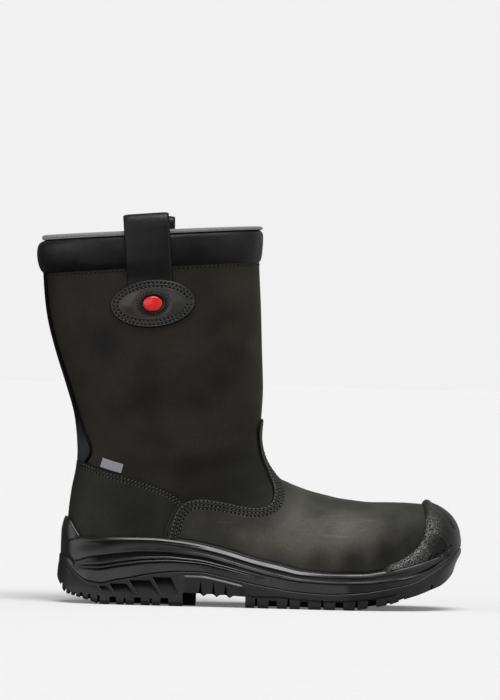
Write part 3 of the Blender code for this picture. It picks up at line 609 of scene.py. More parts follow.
def holes(name, rows, size, slot):
    """Dark discs of painted shade half way between the stitches of each row, at the needle holes."""
    length, width, lift = size
    turns = turn_steps(HOLE_ROUND)
    shape = 0.5 * length * np.cos(turns), 0.5 * width * np.sin(turns), np.full(HOLE_ROUND, lift)
    gaps = []
    for spots, normals, _ in rows:
        middles, ways = 0.5 * (spots[1:] + spots[:-1]), unit(np.diff(spots, axis=0))
        gaps.append(StitchRow(middles, unit(normals[1:] + normals[:-1]), ways))
    scatter(name, gaps, shape, [list(range(HOLE_ROUND))], hole_shade, slot)


def sew(name, rows, grain, hole, slot, look):
    stitches(f"{name}_stitches", rows, grain, look, slot)
    holes(f"{name}_holes", rows, hole, slot)


# Materials

def new_look(name, colour, roughness, specular=0.5):
    look = bpy.data.materials.new(name)
    look.use_nodes = True
    shader = look.node_tree.nodes["Principled BSDF"]
    shader.inputs["Base Color"].default_value = (*colour, 1)
    shader.inputs["Roughness"].default_value = roughness
    shader.inputs["Specular IOR Level"].default_value = specular
    return look, look.node_tree, shader


def node(tree, kind, output, inputs, **settings):
    """An output of a new shader node, from its settings and its inputs: links, numbers or colours."""
    made = tree.nodes.new("ShaderNode" + kind)
    for name, value in settings.items():
        setattr(made, name, value)
    for name, value in inputs.items():
        socket = made.inputs[name]
        if isinstance(value, bpy.types.NodeSocket):
            tree.links.new(value, socket)
        else:
            socket.default_value = (*value, 1) if socket.type == "RGBA" else value
    return made.outputs[output]


def feed(tree, shader, colour, normal, gloss=None):
    """Links what the nodes give to a material's shader."""
    sources = {"Base Color": colour, "Normal": normal, "Roughness": gloss}
    for name, source in sources.items():
        if source is not None:
            tree.links.new(source, shader.inputs[name])


def noise(tree, where, scale, detail=2.0, rough=0.5):
    inputs = {"Vector": where, "Scale": scale, "Detail": detail, "Roughness": rough}
    return node(tree, "TexNoise", "Fac", inputs)


def ramp(tree, value, *stops):
    """Colours or greys by a value: each stop is a place and a colour."""
    made = tree.nodes.new("ShaderNodeValToRGB")
    while len(made.color_ramp.elements) < len(stops):
        made.color_ramp.elements.new(0.5)
    for element, (spot, colour) in zip(made.color_ramp.elements, stops):
        element.position = spot
        element.color = (*colour, 1) if isinstance(colour, tuple) else (colour, colour, colour, 1)
    tree.links.new(value, made.inputs["Fac"])
    return made.outputs["Color"]


def math_node(tree, operation, *values):
    return node(tree, "Math", 0, dict(enumerate(values)), operation=operation)


def times(tree, first, second):
    return math_node(tree, "MULTIPLY", first, second)


def stretched(tree, where, by):
    return node(tree, "VectorMath", 0, {0: where, 1: by}, operation="MULTIPLY")


def bump(tree, height, distance, strength, after=None):
    inputs = {"Height": height, "Distance": distance, "Strength": strength}
    if after is not None:
        inputs["Normal"] = after
    return node(tree, "Bump", "Normal", inputs)


def object_place(tree):
    return node(tree, "TexCoord", "Object", {})


def attribute(tree, name):
    return node(tree, "Attribute", "Fac", {}, attribute_name=name)


def mixed(tree, share, first, second, blend="MIX"):
    """One colour over another by a share."""
    inputs = {0: share, 6: first, 7: second}
    return node(tree, "Mix", 2, inputs, data_type="RGBA", blend_type=blend)


Tint = namedtuple("Tint", "x z radius colour share streaked", defaults=(False,))
# How far a tint's outline is ragged, and where it ends and is full, as shares of its radius
TINT_RAGGED, TINT_END, TINT_FULL = 1.1, 1.65, 0.45
EDGE_BAND = 2.2
# Painted shade in hollows: the depth at which it is full, the roughness and the colour there
RECESS_DEEP, RECESS_DULL = 4.5, 0.95
RECESS_SHADE_COLOUR = (0.0012, 0.0012, 0.0012)
# How many of each lie in a metre, with streaks of scuffs counted along and across them
STREAKS = (26.0, 26.0, 420.0)
RAGGED, WRINKLES, NAP, PORES = 40.0, 60.0, 420.0, 1100.0
MOULD_CLOUDS, MOULD_GLOSS, MOULD_GRAIN, GRIT_GRAIN, MOTTLE = 30.0, 60.0, 500.0, 1040.0, 900.0


def near_spot(tree, where, tint, ragged):
    """Share from 1 to 0 away from a place in the side view, with a ragged outline."""
    x, _, z = place((tint.x, 0, tint.z))
    reach = tint.radius * MM
    ends = {0: stretched(tree, where, (1, 0, 1)), 1: (x, 0, z)}
    gap = node(tree, "VectorMath", "Value", ends, operation="DISTANCE")
    gap = math_node(tree, "MULTIPLY_ADD", ragged, TINT_RAGGED * reach, gap)
    inputs = {"Value": gap, "From Min": TINT_END * reach, "From Max": TINT_FULL * reach}
    return node(tree, "MapRange", "Result", inputs, interpolation_type="SMOOTHERSTEP")


def streaks(tree, where):
    """Fine level streaks, from 0 to 1."""
    drawn = noise(tree, stretched(tree, where, STREAKS), 1.0, 3.0)
    return ramp(tree, drawn, (0.52, 0.0), (0.68, 1.0))


def sewn_channels(tree, sewing):
    """Height that dips along each row of stitches, by the distance from the panel's edge."""
    first, pitch, count = sewing
    inset = attribute(tree, "edge_mm")
    turn = times(tree, math_node(tree, "SUBTRACT", inset, first), 2 * math.pi / pitch)
    wave = math_node(tree, "MULTIPLY_ADD", math_node(tree, "COSINE", turn), -0.5, 0.5)
    beyond = math_node(tree, "GREATER_THAN", inset, first + (count - 0.5) * pitch)
    before = math_node(tree, "LESS_THAN", inset, first - 0.5 * pitch)
    return math_node(tree, "MAXIMUM", wave, math_node(tree, "ADD", beyond, before))


def leather(name, dark, pale, rough, cloud=14.0, tints=(), sewing=None, specular=0.12, edge=None, shade=None):
    """Oiled leather: cloudy colour with tinted places, fine grain and pores.

    sewing gives dips along its rows, edge the colours of a panel's cut and of the line inside it, which where
    paler is a painted highlight of the rounded edge, and shade the colour of painted shade along the edge and
    how far it reaches."""
    look, tree, shader = new_look(name, dark, rough, specular)
    where = object_place(tree)
    colour = ramp(tree, noise(tree, where, cloud, 3.0), (0.38, dark), (0.62, pale))
    ragged = noise(tree, where, RAGGED)
    for tint in tints:
        share = near_spot(tree, where, tint, ragged)
        if tint.streaked:
            share = times(tree, share, streaks(tree, where))
        colour = mixed(tree, times(tree, share, tint.share), colour, tint.colour)
    # Painted shade along the panel's edge, out to the given reach
    if shade is not None:
        edge_shade, reach = shade
        inset = math_node(tree, "MULTIPLY_ADD", ragged, 10.0, attribute(tree, "edge_mm"))
        share = ramp(tree, math_node(tree, "DIVIDE", inset, 2 * reach), (0.42, 0.92), (0.95, 0.0))
        colour = mixed(tree, share, colour, edge_shade)
    nap = noise(tree, where, NAP, 4.0, 0.7)
    colour = mixed(tree, 1.0, colour, ramp(tree, nap, (0.3, 0.86), (0.7, 1.14)), "MULTIPLY")
    # The dark cut, then a line inside it that paints the highlight of the rounded edge where it is paler
    if edge is not None:
        cut, inner_line = edge
        inset = times(tree, attribute(tree, "edge_mm"), 1 / EDGE_BAND)
        share = ramp(tree, inset, (0.80, 1.0), (1.0, 0.0))
        colour = mixed(tree, share, colour, ramp(tree, inset, (0.46, cut), (0.58, inner_line)))
    gloss = ramp(tree, noise(tree, where, 3 * cloud, 4.0), (0.3, rough - 0.08), (0.7, rough + 0.10))
    pores = node(tree, "TexVoronoi", "Distance", {"Vector": where, "Scale": PORES})
    normal = bump(tree, noise(tree, where, WRINKLES, 4.0, 0.55), 0.0012, 0.40)
    normal = bump(tree, nap, 0.0003, 0.40, normal)
    normal = bump(tree, pores, 0.0002, 0.25, normal)
    if sewing is not None:
        normal = bump(tree, sewn_channels(tree, sewing), 0.0007, 0.9, normal)
    feed(tree, shader, colour, normal, gloss)
    return look


def moulded(name, colour, rough, grain=0.05, specular=0.35, grit=None, recess=None):
    """Moulded rubber or foam: near black, satin, with a faint skin.

    grit gives the layer with the share of a grainy band and the colour of its flecks, painted glints of the
    grain, and recess the layer with a depth that the painted shade of hollows follows, dull and dark."""
    look, tree, shader = new_look(name, colour, rough, specular)
    where = object_place(tree)
    pale = tuple(1.6 * c for c in colour)
    shade = ramp(tree, noise(tree, where, MOULD_CLOUDS, 4.0), (0.3, colour), (0.75, pale))
    normal = bump(tree, noise(tree, where, MOULD_GRAIN), 0.0002, grain)
    gloss = ramp(tree, noise(tree, where, MOULD_GLOSS, 4.0), (0.3, rough - 0.05), (0.7, rough + 0.08))
    # Pale flecks over the grainy band, painted glints of its grain
    if grit is not None:
        layer, glint_colour = grit
        band = attribute(tree, layer)
        grains = noise(tree, where, GRIT_GRAIN, 2.0, 0.8)
        glints = times(tree, ramp(tree, grains, (0.49, 0.0), (0.61, 1.0)), band)
        shade = mixed(tree, glints, shade, glint_colour)
        normal = bump(tree, times(tree, grains, band), 0.0016, 0.9, normal)
    # Painted shade, dull and dark, by the depth in the recess layer
    if recess is not None:
        depth = math_node(tree, "DIVIDE", attribute(tree, recess), RECESS_DEEP)
        share = ramp(tree, depth, (0.04, 0.0), (0.78, 1.0))
        shade = mixed(tree, share, shade, RECESS_SHADE_COLOUR)
        gloss = mixed(tree, share, gloss, (RECESS_DULL, RECESS_DULL, RECESS_DULL))
    feed(tree, shader, shade, normal, gloss)
    return look


def speckled(name, dark, pale, rough, specular=0.5):
    """A fine even mottle, for small things."""
    look, tree, shader = new_look(name, dark, rough, specular)
    grain = noise(tree, object_place(tree), MOTTLE, 3.0)
    feed(tree, shader, ramp(tree, grain, (0.35, dark), (0.65, pale)), bump(tree, grain, 0.0002, 0.3))
    return look


def textile(name, colour, pitch):
    """Woven cloth with crossing threads."""
    look, tree, shader = new_look(name, colour, 0.9, 0.2)
    inputs = {"Vector": object_place(tree), "Scale": 0.31 / (pitch * MM), "Distortion": 0.4}
    weave = times(tree, *(node(tree, "TexWave", "Fac", inputs, bands_direction=axis) for axis in "XZ"))
    dim = tuple(0.55 * c for c in colour)
    feed(tree, shader, ramp(tree, weave, (0.1, dim), (0.8, colour)), bump(tree, weave, 0.0004, 0.5))
    return look


# Soft blotches over the shaft; the last two lighten its front edge, a painted highlight
SHAFT_TINTS = rows_of(
    Tint,
    (98, 201, 30, (0.0225, 0.0170, 0.0138), 0.8),
    (132, 210, 22, (0.0215, 0.0165, 0.0122), 0.8),
    (133, 246, 22, (0.0225, 0.0205, 0.0150), 0.8),
    (32, 199, 26, (0.0098, 0.0098, 0.0105), 0.85),
    (16, 242, 20, (0.0140, 0.0138, 0.0130), 0.7),
    (122, 174, 18, (0.0075, 0.0072, 0.0048), 0.8),
    (106, 155, 18, (0.0095, 0.0095, 0.0066), 0.7),
    (66, 185, 18, (0.0140, 0.0110, 0.0080), 0.7),
    (52, 134, 24, (0.0190, 0.0180, 0.0128), 0.7),
    (102, 127, 18, (0.0200, 0.0170, 0.0140), 0.7),
    (102, 98, 26, (0.0090, 0.0082, 0.0080), 0.85),
    (14, 172, 16, (0.0130, 0.0130, 0.0100), 0.7),
    (149, 200, 12, (0.0270, 0.0245, 0.0190), 0.7),
    (150, 160, 12, (0.0250, 0.0230, 0.0175), 0.7),
)
# Pale patches up the vamp's side paint part of its lit look over its paler leather; dark patches low by the
# rim and the cap and along its rear edge are painted shade; the streaked patches are scuffs
VAMP_TINTS = rows_of(
    Tint,
    (178, 82, 22, (0.060, 0.060, 0.046), 0.8),
    (186, 56, 30, (0.080, 0.075, 0.062), 0.75),
    (218, 60, 26, (0.094, 0.085, 0.075), 0.85),
    (248, 70, 24, (0.042, 0.041, 0.033), 0.85),
    (268, 54, 30, (0.012, 0.012, 0.0095), 0.95),
    (226, 36, 22, (0.011, 0.011, 0.0088), 0.9),
    (251, 40, 26, (0.0075, 0.0075, 0.0060), 0.95),
    (198, 36, 19, (0.022, 0.021, 0.017), 0.85),
    (116, 60, 26, (0.0185, 0.0172, 0.0178), 0.95),
    (94, 48, 26, (0.0150, 0.0148, 0.0152), 0.95),
    (140, 66, 14, (0.0260, 0.0240, 0.0235), 0.7),
    (213, 63, 18, (0.150, 0.140, 0.125), 0.55, True),
    (188, 58, 18, (0.130, 0.122, 0.100), 0.35, True),
    (236, 66, 16, (0.100, 0.096, 0.080), 0.40, True),
    (129, 65, 9, (0.085, 0.080, 0.075), 0.85, True),
)
# Pale tints high on the cuff are its painted highlight, dark ones low on it painted shade
CUFF_LIGHT_AND_SHADE = rows_of(
    Tint,
    (12, 276, 18, (0.0170, 0.0165, 0.0165), 0.8),
    (40, 279, 12, (0.0125, 0.0118, 0.0118), 0.6),
    (102, 269, 14, (0.0030, 0.0030, 0.0034), 0.9),
    (128, 286, 14, (0.0165, 0.0155, 0.0155), 0.8),
    (136, 269, 10, (0.0035, 0.0035, 0.0040), 0.8),
)
STRIP_TINTS = rows_of(Tint, (14, 118, 24, (0.0260, 0.0280, 0.0300), 1.0))
# Painted highlight at the upper left of the padded patch
PATCH_HIGHLIGHT = rows_of(Tint, (56, 236, 10, (0.0460, 0.0440, 0.0385), 0.8))
VAMP_SEWING = Sewing(2.2, 2.8, 3)
COUNTER_SEWING = Sewing(2.0, 2.6, 2)
PATCH_SEWING = Sewing(2.6, 2.8, 2)
CUT = (0.0015, 0.0015, 0.0015)
upper_leather = leather(
    "upper_leather", (0.0095, 0.0092, 0.0074), (0.0190, 0.0172, 0.0128), 0.58, tints=SHAFT_TINTS,
)
# Painted shade along its edges, and a paler line inside its cut that is a painted highlight
vamp_leather = leather(
    "vamp_leather_look", (0.034, 0.034, 0.027), (0.064, 0.060, 0.050), 0.55, 18.0, VAMP_TINTS, VAMP_SEWING,
    edge=(CUT, (0.085, 0.083, 0.076)), shade=((0.0190, 0.0185, 0.0180), 14.0),
)
counter_leather = leather(
    "counter_leather_look", (0.0095, 0.0095, 0.0088), (0.0190, 0.0185, 0.0160), 0.55,
    sewing=COUNTER_SEWING, edge=(CUT, (0.024, 0.024, 0.022)),
)
strip_leather = leather(
    "strip_leather_look", (0.0022, 0.0022, 0.0023), (0.0050, 0.0050, 0.0052), 0.48,
    tints=STRIP_TINTS, specular=0.06, edge=(CUT, CUT),
)
# Painted shade darkens the cuff towards its lower edge
cuff_leather = leather(
    "cuff_leather_look", (0.0070, 0.0070, 0.0074), (0.0130, 0.0124, 0.0122), 0.42, 26.0, CUFF_LIGHT_AND_SHADE,
    specular=0.20, shade=((0.0028, 0.0028, 0.0032), 10.0),
)
strap_leather = leather(
    "strap_leather_look", (0.0050, 0.0050, 0.0056), (0.0090, 0.0088, 0.0092), 0.40, specular=0.22,
)
patch_leather = leather(
    "patch_leather_look", (0.0170, 0.0168, 0.0145), (0.0300, 0.0290, 0.0250), 0.40, 24.0, PATCH_HIGHLIGHT,
    PATCH_SEWING, specular=0.45, edge=(CUT, (0.032, 0.031, 0.028)),
)
# The rubber and the foam get painted shade in their hollows
rubber = moulded("sole_rubber", (0.0075, 0.0075, 0.0082), 0.34, recess="recess_shade_mm")
foam = moulded("sole_foam", (0.0060, 0.0060, 0.0067), 0.30, 0.02, 0.50, recess="recess_shade_mm")
# Paler rubber of the flute edges, a painted glint
flute_glint_rubber = moulded("flute_glint_rubber", (0.030, 0.030, 0.032), 0.40)
# Pale flecks of its grainy bead are painted glints, and painted shade darkens it low on its side
cap_rubber = moulded(
    "toe_rubber", (0.0058, 0.0058, 0.0054), 0.40,
    specular=0.26, grit=("grit", (0.36, 0.36, 0.345)), recess="recess_shade_mm",
)
lining = textile("lining_cloth", (0.30, 0.318, 0.314), 1.0)
footbed_cloth = textile("footbed_cloth", (0.045, 0.045, 0.048), 1.2)
tag_cloth = textile("tag_cloth", (0.33, 0.34, 0.36), 0.6)
thread = speckled("thread", (0.030, 0.029, 0.026), (0.055, 0.053, 0.048), 0.55)
dark_thread = speckled("dark_thread", (0.004, 0.004, 0.004), (0.010, 0.010, 0.010), 0.55)
# Painted shade of the needle holes and of the dips between threads
hole_shade = speckled("needle_hole", (0.0015, 0.0015, 0.0015), (0.004, 0.004, 0.004), 0.9, 0.1)
badge_red = speckled("badge_enamel", (0.56, 0.010, 0.014), (0.66, 0.014, 0.018), 0.22)
badge_ring = moulded("badge_ring_plastic", (0.0035, 0.0038, 0.0042), 0.38)


# Upper and lining

SKIN_TURNS, SLEEVE_TURNS, COLLAR_TURNS = 130, 100, 150
SLEEVE_IN = WALL + 0.3
# Top of the sleeve under the roll, as rows of the distance out and height
SLEEVE_TOP = ((0.2, 1.2), (-1.4, 1.0))
# Height over the footbed where the skin and the sleeve end
SKIN_LIFT, SLEEVE_LIFT = -1.0, 4.3


def build_upper():
    """The leather tube of the boot with its inner face, open at the collar and underneath."""
    outer = skin_rings(0.0, TOE - 0.15, SKIN_STEP, SKIN_TURNS, 0.0)
    inner = skin_rings(0.0, TOE - 0.3, INSIDE_STEP, SKIN_TURNS, -WALL)
    made = tube("upper_skin", np.concatenate((inner[::-1], outer)), upper_leather)
    drop_below_footbed(made, SKIN_LIFT)
    face_outward(made)
    wear(made, "leather", "upper")


def build_lining_sleeve():
    """Cloth that lines the boot, from inside the rolled edge down to the insole."""
    rings = skin_rings(0.04, TOE - 0.4, INSIDE_STEP, SLEEVE_TURNS, -SLEEVE_IN)
    turns = even_turns(np.zeros(1), SLEEVE_TURNS)[0]
    base, across = form(0.0, turns), form_normal(0.0, turns)
    top = [base + out * across + (0, 0, up) for out, up in SLEEVE_TOP]
    made = tube("lining_sleeve", np.concatenate((top, rings)), lining)
    drop_below_footbed(made, SLEEVE_LIFT)
    wear(made, "lining")


# Overlays, with panel edges in the side view as rows of x and z

VAMP_EDGE = ((157.2, 145.6), (153.6, 143.6), (151.6, 138), (151.4, 129), (154, 116), (160.2, 101),
             (164.2, 89.5), (163, 80.5), (156.7, 76.8), (147, 76.6), (130, 80), (114, 82.4), (104.7, 82.2),
             (96.8, 79.8), (90.8, 73.5), (87.8, 66.5), (84.4, 50), (81, 30))
COUNTER_EDGE = ((11, 110.6), (20.4, 108), (32.5, 103.6), (50, 98.7), (72.6, 92.6), (87.4, 86.4), (95, 80.4))
STRIP_EDGE = ((-10.6, 224), (-6, 206), (0.6, 186), (7.4, 167), (12.8, 150), (18.3, 135), (22.6, 126),
              (24.9, 119), (24.2, 113), (21.2, 108.2))
STRIP_TOP = ((-13.8, SECTIONS[1].back_z + 4.0),)
STRIP_FOOT = ((20, 104), (11, 106))
# How far overlays go down behind the sole's rim and start under the skin, and the counter under the vamp
HIDDEN, SUNK, UNDER_VAMP = 7.0, 0.1, 3.0
VAMP_RUN, VAMP_UNDER_CAP, VAMP_CROSS = (88.0, 262.0), 18.9, 1.62
COUNTER_RUN = (4.0, 84.0)
STITCH_PITCH, COUNTER_PITCH = 3.1, 2.8


def rim_line(run, drop):
    """A line in the side view that the sole's rim hides."""
    return np.stack((run, table_at(RIM, run) - drop), -1)


def build_vamp():
    outer, inner = side_lines(curve(VAMP_EDGE))
    low_outer, low_inner = side_lines(rim_line(np.linspace(*VAMP_RUN, 60), HIDDEN))
    cross = np.linspace(VAMP_CROSS, -VAMP_CROSS, 40)
    under_cap = (np.full(cross.shape, VAMP_UNDER_CAP), cross)
    line = loop_of(turned(outer), inner, low_inner, under_cap, turned(low_outer))
    made = panel("vamp_panel", line, vamp_leather, -SUNK, OVERLAY_OUT + SUNK, 1.3, 1.5)
    wear(made, "vamp_leather", "vamp")
    rows = edge_rows(VAMP_EDGE[4:-1], -1, VAMP_SEWING, OVERLAY_OUT, STITCH_PITCH)
    sew("vamp", rows, (2.0, 0.9, 0.35), (1.7, 1.5, 0.06), "vamp_leather", thread)


def build_counter():
    front = np.array(VAMP_EDGE[-5:-1]) + (UNDER_VAMP, 0.0)
    low = rim_line(np.linspace(*COUNTER_RUN, 30), HIDDEN)
    line = back_loop(np.concatenate((curve(COUNTER_EDGE), front, low[::-1])))
    made = panel("counter_panel", line, counter_leather, -SUNK, OVERLAY_OUT - SUNK, 1.2, 1.6)
    wear(made, "counter_leather", "counter")
    rows = edge_rows(COUNTER_EDGE[1:], 1, COUNTER_SEWING, OVERLAY_OUT - 2 * SUNK, COUNTER_PITCH)
    sew("counter", rows, (1.8, 0.85, 0.3), (1.5, 1.3, 0.06), "counter_leather", thread)


def build_back_strip():
    line = back_loop(np.concatenate((STRIP_TOP, curve(STRIP_EDGE, 8), STRIP_FOOT)))
    made = panel("back_strip_panel", line, strip_leather, -SUNK, STRIP_OUT, 1.1, 1.6)
    wear(made, "strip_leather", "back_strip")


# Toe cap, with its rear edge, groove, arc, shallow hollow and pits in the side view

CAP_EDGE = ((279, 82), (280.4, 76), (281.2, 69), (280.8, 62.5), (279, 56.5), (275.2, 49.5), (269.5, 44),
            (262, 39), (254, 35.6), (249, 32), (244, 29))
CAP_END, CAP_TUCK = 303.0, 3.0
LIP_RISE, LIP_MIDDLE, LIP_WIDTH = 1.5, 3.4, 2.4
CAP_GROOVE = ((285, 77), (290.5, 72.5), (295.2, 67), (297.8, 62))
GROOVE_DEPTH, GROOVE_WIDTH = 1.5, 0.6
CAP_ARC = ((288, 58.5), (291.5, 54.5), (294, 49.5))
ARC_RISE, ARC_WIDTH = 0.7, 0.7
CAP_HOLLOW = ((285, 52),)
HOLLOW_DEPTH, HOLLOW_WIDTH = 0.9, 6.0
CAP_PITS = ((283.3, 40.8), (287.4, 42.7), (291.4, 45.4), (295.2, 48.8))
PIT_DEPTH, PIT_WIDTH, PIT_RUN = 1.6, 0.85, (0.7, 1.5)
MARKS_FULL, FULLER_FULL = 2.0, 3.0
# Fuller front of the cap and its grainy band, whose pale flecks are painted glints, with where each starts
# and is full
CAP_FULL, CAP_FULL_X, CAP_FULL_Z, FULL_LEAST = 3.0, (282.0, 297.0), (74.0, 58.0), 0.3
GRIT_X, GRIT_Z, GRIT_LEAST = (250.0, 264.0), (76.0, 66.0), 0.15
GRIT_MIDDLE, GRIT_NEAR, GRIT_BEYOND = 5.0, 2.7, 5.5
# Painted shade, dull and dark, low on its side: middle in the side view, half sizes and depth as for a recess
CAP_SHADE, SHADE_HALF, SHADE_DEPTH = (289.0, 50.5), (8.5, 8.0), 2.2


def at_least(least, share):
    return least + (1 - least) * share


def side_swell(points, line, width, power=2):
    """Share that falls off from a line in the side view."""
    line = even_polyline(line, LINE_STEP) if len(line) > 1 else np.asarray(line, float)
    line = np.column_stack((line[:, 0], np.zeros(len(line)), line[:, 1]))
    return np.exp(-(distances(points * (1, 0, 1), line) / width) ** power)


def build_toe_cap():
    """Scuff cap with a grainy bead along its rear edge."""
    rear = curve(CAP_EDGE, 8)
    low = rim_line(np.linspace(CAP_EDGE[-1][0], CAP_END, 90), CAP_TUCK)
    outer, inner = (loop_of(*lines) for lines in zip(side_lines(rear), side_lines(low)))
    rear_line = np.concatenate([form(*even_line(*line, LINE_STEP)) for line in side_lines(rear)])

    def relief(inset, points):
        x, z = points[:, 0], points[:, 2]
        marks = LIP_RISE * bell((distances(points, rear_line) - LIP_MIDDLE) / LIP_WIDTH)
        marks += ARC_RISE * side_swell(points, CAP_ARC, ARC_WIDTH)
        marks -= GROOVE_DEPTH * side_swell(points, curve(CAP_GROOVE, 8), GROOVE_WIDTH)
        marks -= HOLLOW_DEPTH * side_swell(points, CAP_HOLLOW, HOLLOW_WIDTH)
        for pit in np.array(CAP_PITS):
            marks -= PIT_DEPTH * side_swell(points, (pit - PIT_RUN, pit + PIT_RUN), PIT_WIDTH, 4)
        fuller = CAP_FULL * at_least(FULL_LEAST, eased(z, *CAP_FULL_Z)) * eased(x, *CAP_FULL_X)
        return marks * np.minimum(inset / MARKS_FULL, 1) + fuller * np.minimum(inset / FULLER_FULL, 1)

    base, thickness = OVERLAY_OUT - 0.3, CAP_OUT - OVERLAY_OUT - 0.5
    line = loop_of(outer, turned(inner))
    made = panel("toe_cap_panel", line, cap_rubber, base, thickness, 2.0, 0.65, relief)
    points = points_of(made)
    # Share of the grainy bead, where pale flecks paint its glints, less high up and towards the rear
    behind = distances(points, rear_line) - GRIT_MIDDLE
    grit = bell(behind / np.where(behind < 0, GRIT_NEAR, GRIT_BEYOND))
    grit *= at_least(GRIT_LEAST, eased(points[:, 2], *GRIT_Z)) * eased(points[:, 0], *GRIT_X)
    add_values(made, "grit", grit)
    # Painted shade, dull and dark, low on the cap's side
    away = (points[:, [0, 2]] - CAP_SHADE) / SHADE_HALF
    add_values(made, "recess_shade_mm", SHADE_DEPTH * bell(*away.T))
    wear(made, "cap_rubber", "toe_cap")


# Collar: rows of the share of the cuff's height and distance out, and of the roll's distance out and height

CUFF_PROFILE = ((0.03, 0.8), (0.08, 2), (0.15, 2.9), (0.24, 3.4), (0.38, 3.5), (0.62, 3.2), (0.84, 2.6),
                (0.94, 1.7), (0.99, 0.6))
CUFF_TOP, CUFF_FOOT = (0.02, -0.4), (1.0, -0.6)
CUFF_ROWS, CUFF_SUNK, CUFF_BACK, CUFF_FILL = 44, 1.0, 3.4, 0.6
CUFF_HEIGHT = SECTIONS[0].front_z - SECTIONS[1].front_z
CUFF_SEAM, CUFF_PITCH = 1.045, 3.4
# Soft puckers round the cuff: waves round it, their height and where they start
PUCKERS = ((7, 0.22, 0.4), (13, 0.16, 1.9), (23, 0.10, 4.1))
RIM_PROFILE = ((1.6, 0.2), (2.3, 2.2), (1.6, 3.9), (-0.2, 4.4), (-1.9, 3.2), (-1.9, 0.6))
# Share of that height at the back and at the front of the collar
RIM_TALL = (0.90, 0.62)


def build_cuff():
    """Padded band round the collar."""
    s = np.linspace(CUFF_PROFILE[0][0], CUFF_PROFILE[-1][0], CUFF_ROWS)
    out = GAP + table_at(CUFF_PROFILE, s) - CUFF_SUNK
    s = np.concatenate((CUFF_TOP[:1], s, CUFF_FOOT[:1]))
    out = np.concatenate((CUFF_TOP[1:], out, CUFF_FOOT[1:]))[:, None]
    turns = even_turns(s, COLLAR_TURNS)
    swell = np.sin(math.pi * s)[:, None]
    out = out + CUFF_BACK * np.maximum(-np.cos(turns), 0) ** 2 * swell ** 0.7
    for waves, height, start in PUCKERS:
        out = out + height * np.sin(waves * turns + start) * swell
    made = face_outward(tube("cuff_band", skin(s[:, None], turns, out), cuff_leather))
    # Distance up from the lower edge, for the painted shade
    add_values(made, "edge_mm", np.repeat((1 - s) * CUFF_HEIGHT, turns.shape[1]))
    wear(made, "cuff_leather", "cuff")
    turn = np.linspace(-math.pi, math.pi, 400)
    row = stitch_row(np.full(turn.shape, CUFF_SEAM), turn, 0.1, CUFF_PITCH)
    sew("cuff", [row], (2.2, 0.8, 0.3), (1.2, 0.9, 0.12), "cuff_leather", dark_thread)


def build_lining_rim():
    """Rolled edge of the lining on the upper's rim."""
    profile = rows_at(RIM_PROFILE + RIM_PROFILE[:1], np.linspace(0, len(RIM_PROFILE), 25)[:-1])
    turns = even_turns(np.zeros(1), COLLAR_TURNS)[0]
    base = form(0.0, turns)
    across = unit(form_normal(0.0, turns) * (1, 1, 0))
    tall = np.interp(base[:, 0], (base[:, 0].min(), base[:, 0].max()), RIM_TALL)
    rings = [base + out * across + up * np.outer(tall, (0, 0, 1)) for out, up in profile]
    made = face_outward(tube("lining_roll", rings + rings[:1], lining))
    wear(made, "lining", "lining_rim")


# Pull loops and their patches, with the strap's path as rows of the distance out of the wall and z

LOOP_WIDTH, LOOP_THICKNESS, LOOP_STEPS, LOOP_ROUND = 35.0, 1.8, 24, 14
LOOP_LEAN, INNER_LEAN = math.radians(5.0), math.radians(0.5)
LOOP_CENTRE = (66.5, 250.0)
LOOP_PATH = ((1, 240), (1.2, 252), (4.6, 262), (5.2, 272), (5, 283.6), (4.6, 291), (2.4, 297), (-1.6, 299),
             (-5, 296.2), (-5.8, 289), (-4.4, 280), (-3.8, 268), (-3.8, 254))
LOOP_WALL_TOP = 276.0
PATCH_CENTRE, PATCH_HALF, PATCH_TILT = (69.0, 231.0), (32.5, 18.5), math.radians(6.0)
PAD_RISE, PAD_FROM, PAD_OVER = 1.6, 6.5, 5.0
BADGE_RECESS, RECESS_SLOPE = (12.6, 10.0), 0.25
BADGE_HALF, BADGE_SEWING, BADGE_PITCH = (10.8, 8.3), (11.8, 9.3), 2.2
BADGE_LIFT, BADGE_TURNS = 0.7, 48
# Ring and dome of the badge, as rows of the share of its half sizes and the height
RING_PROFILE = ((1, -1.5), (1, 0.1), (0.97, 0.4), (0.86, 0.4), (0.75, 0), (0.68, -0.3))
DOME_PROFILE = ((0.68, -0.5), (0.675, 0.5), (0.645, 0.9), (0.54, 1.25), (0.37, 1.5), (0.2, 1.65), (0.05, 1.7))
TAG_CORNERS = ((33.6, 112.0), (49.4, 107.4), (47.8, 100.4), (31.6, 105.0))


def build_loop(name, side, slot, lean):
    """Leather strap over the collar, sewn under its patch."""
    path = curve(LOOP_PATH, 8)
    across = np.linspace(-1, 1, LOOP_STEPS + 1)
    rise = LOOP_THICKNESS / 2 * (1 - np.abs(across) ** LOOP_ROUND)
    top = np.stack((across * LOOP_WIDTH / 2, rise), -1)
    section = np.concatenate((top, top[-2:0:-1] * (1, -1)))
    aside = section[:, 0]
    run = np.gradient(path, axis=0)
    rings = []
    for spot, way in zip(path, unit(np.stack((run[:, 1], -run[:, 0]), -1))):
        out, z = (spot + section[:, 1:] * way).T
        x = LOOP_CENTRE[0] + aside * math.cos(lean) - (z - LOOP_CENTRE[1]) * math.sin(lean)
        s, a = locate(x, np.minimum(z, LOOP_WALL_TOP))
        wall = form(s, side * a)[:, 1]
        rings.append(np.stack((x, wall + side * out, z + aside * math.sin(lean)), -1))
    made = face_outward(tube(name, rings, strap_leather, end_faces(len(rings), len(section))))
    wear(made, slot, name.replace("strap", "pull_loop"))


def oval_row(half, side, pitch, later=False):
    oval = oval_line(half)
    return stitch_row(*side_line(np.concatenate((oval, oval[:1])), side), PATCH_OUT, pitch, later)


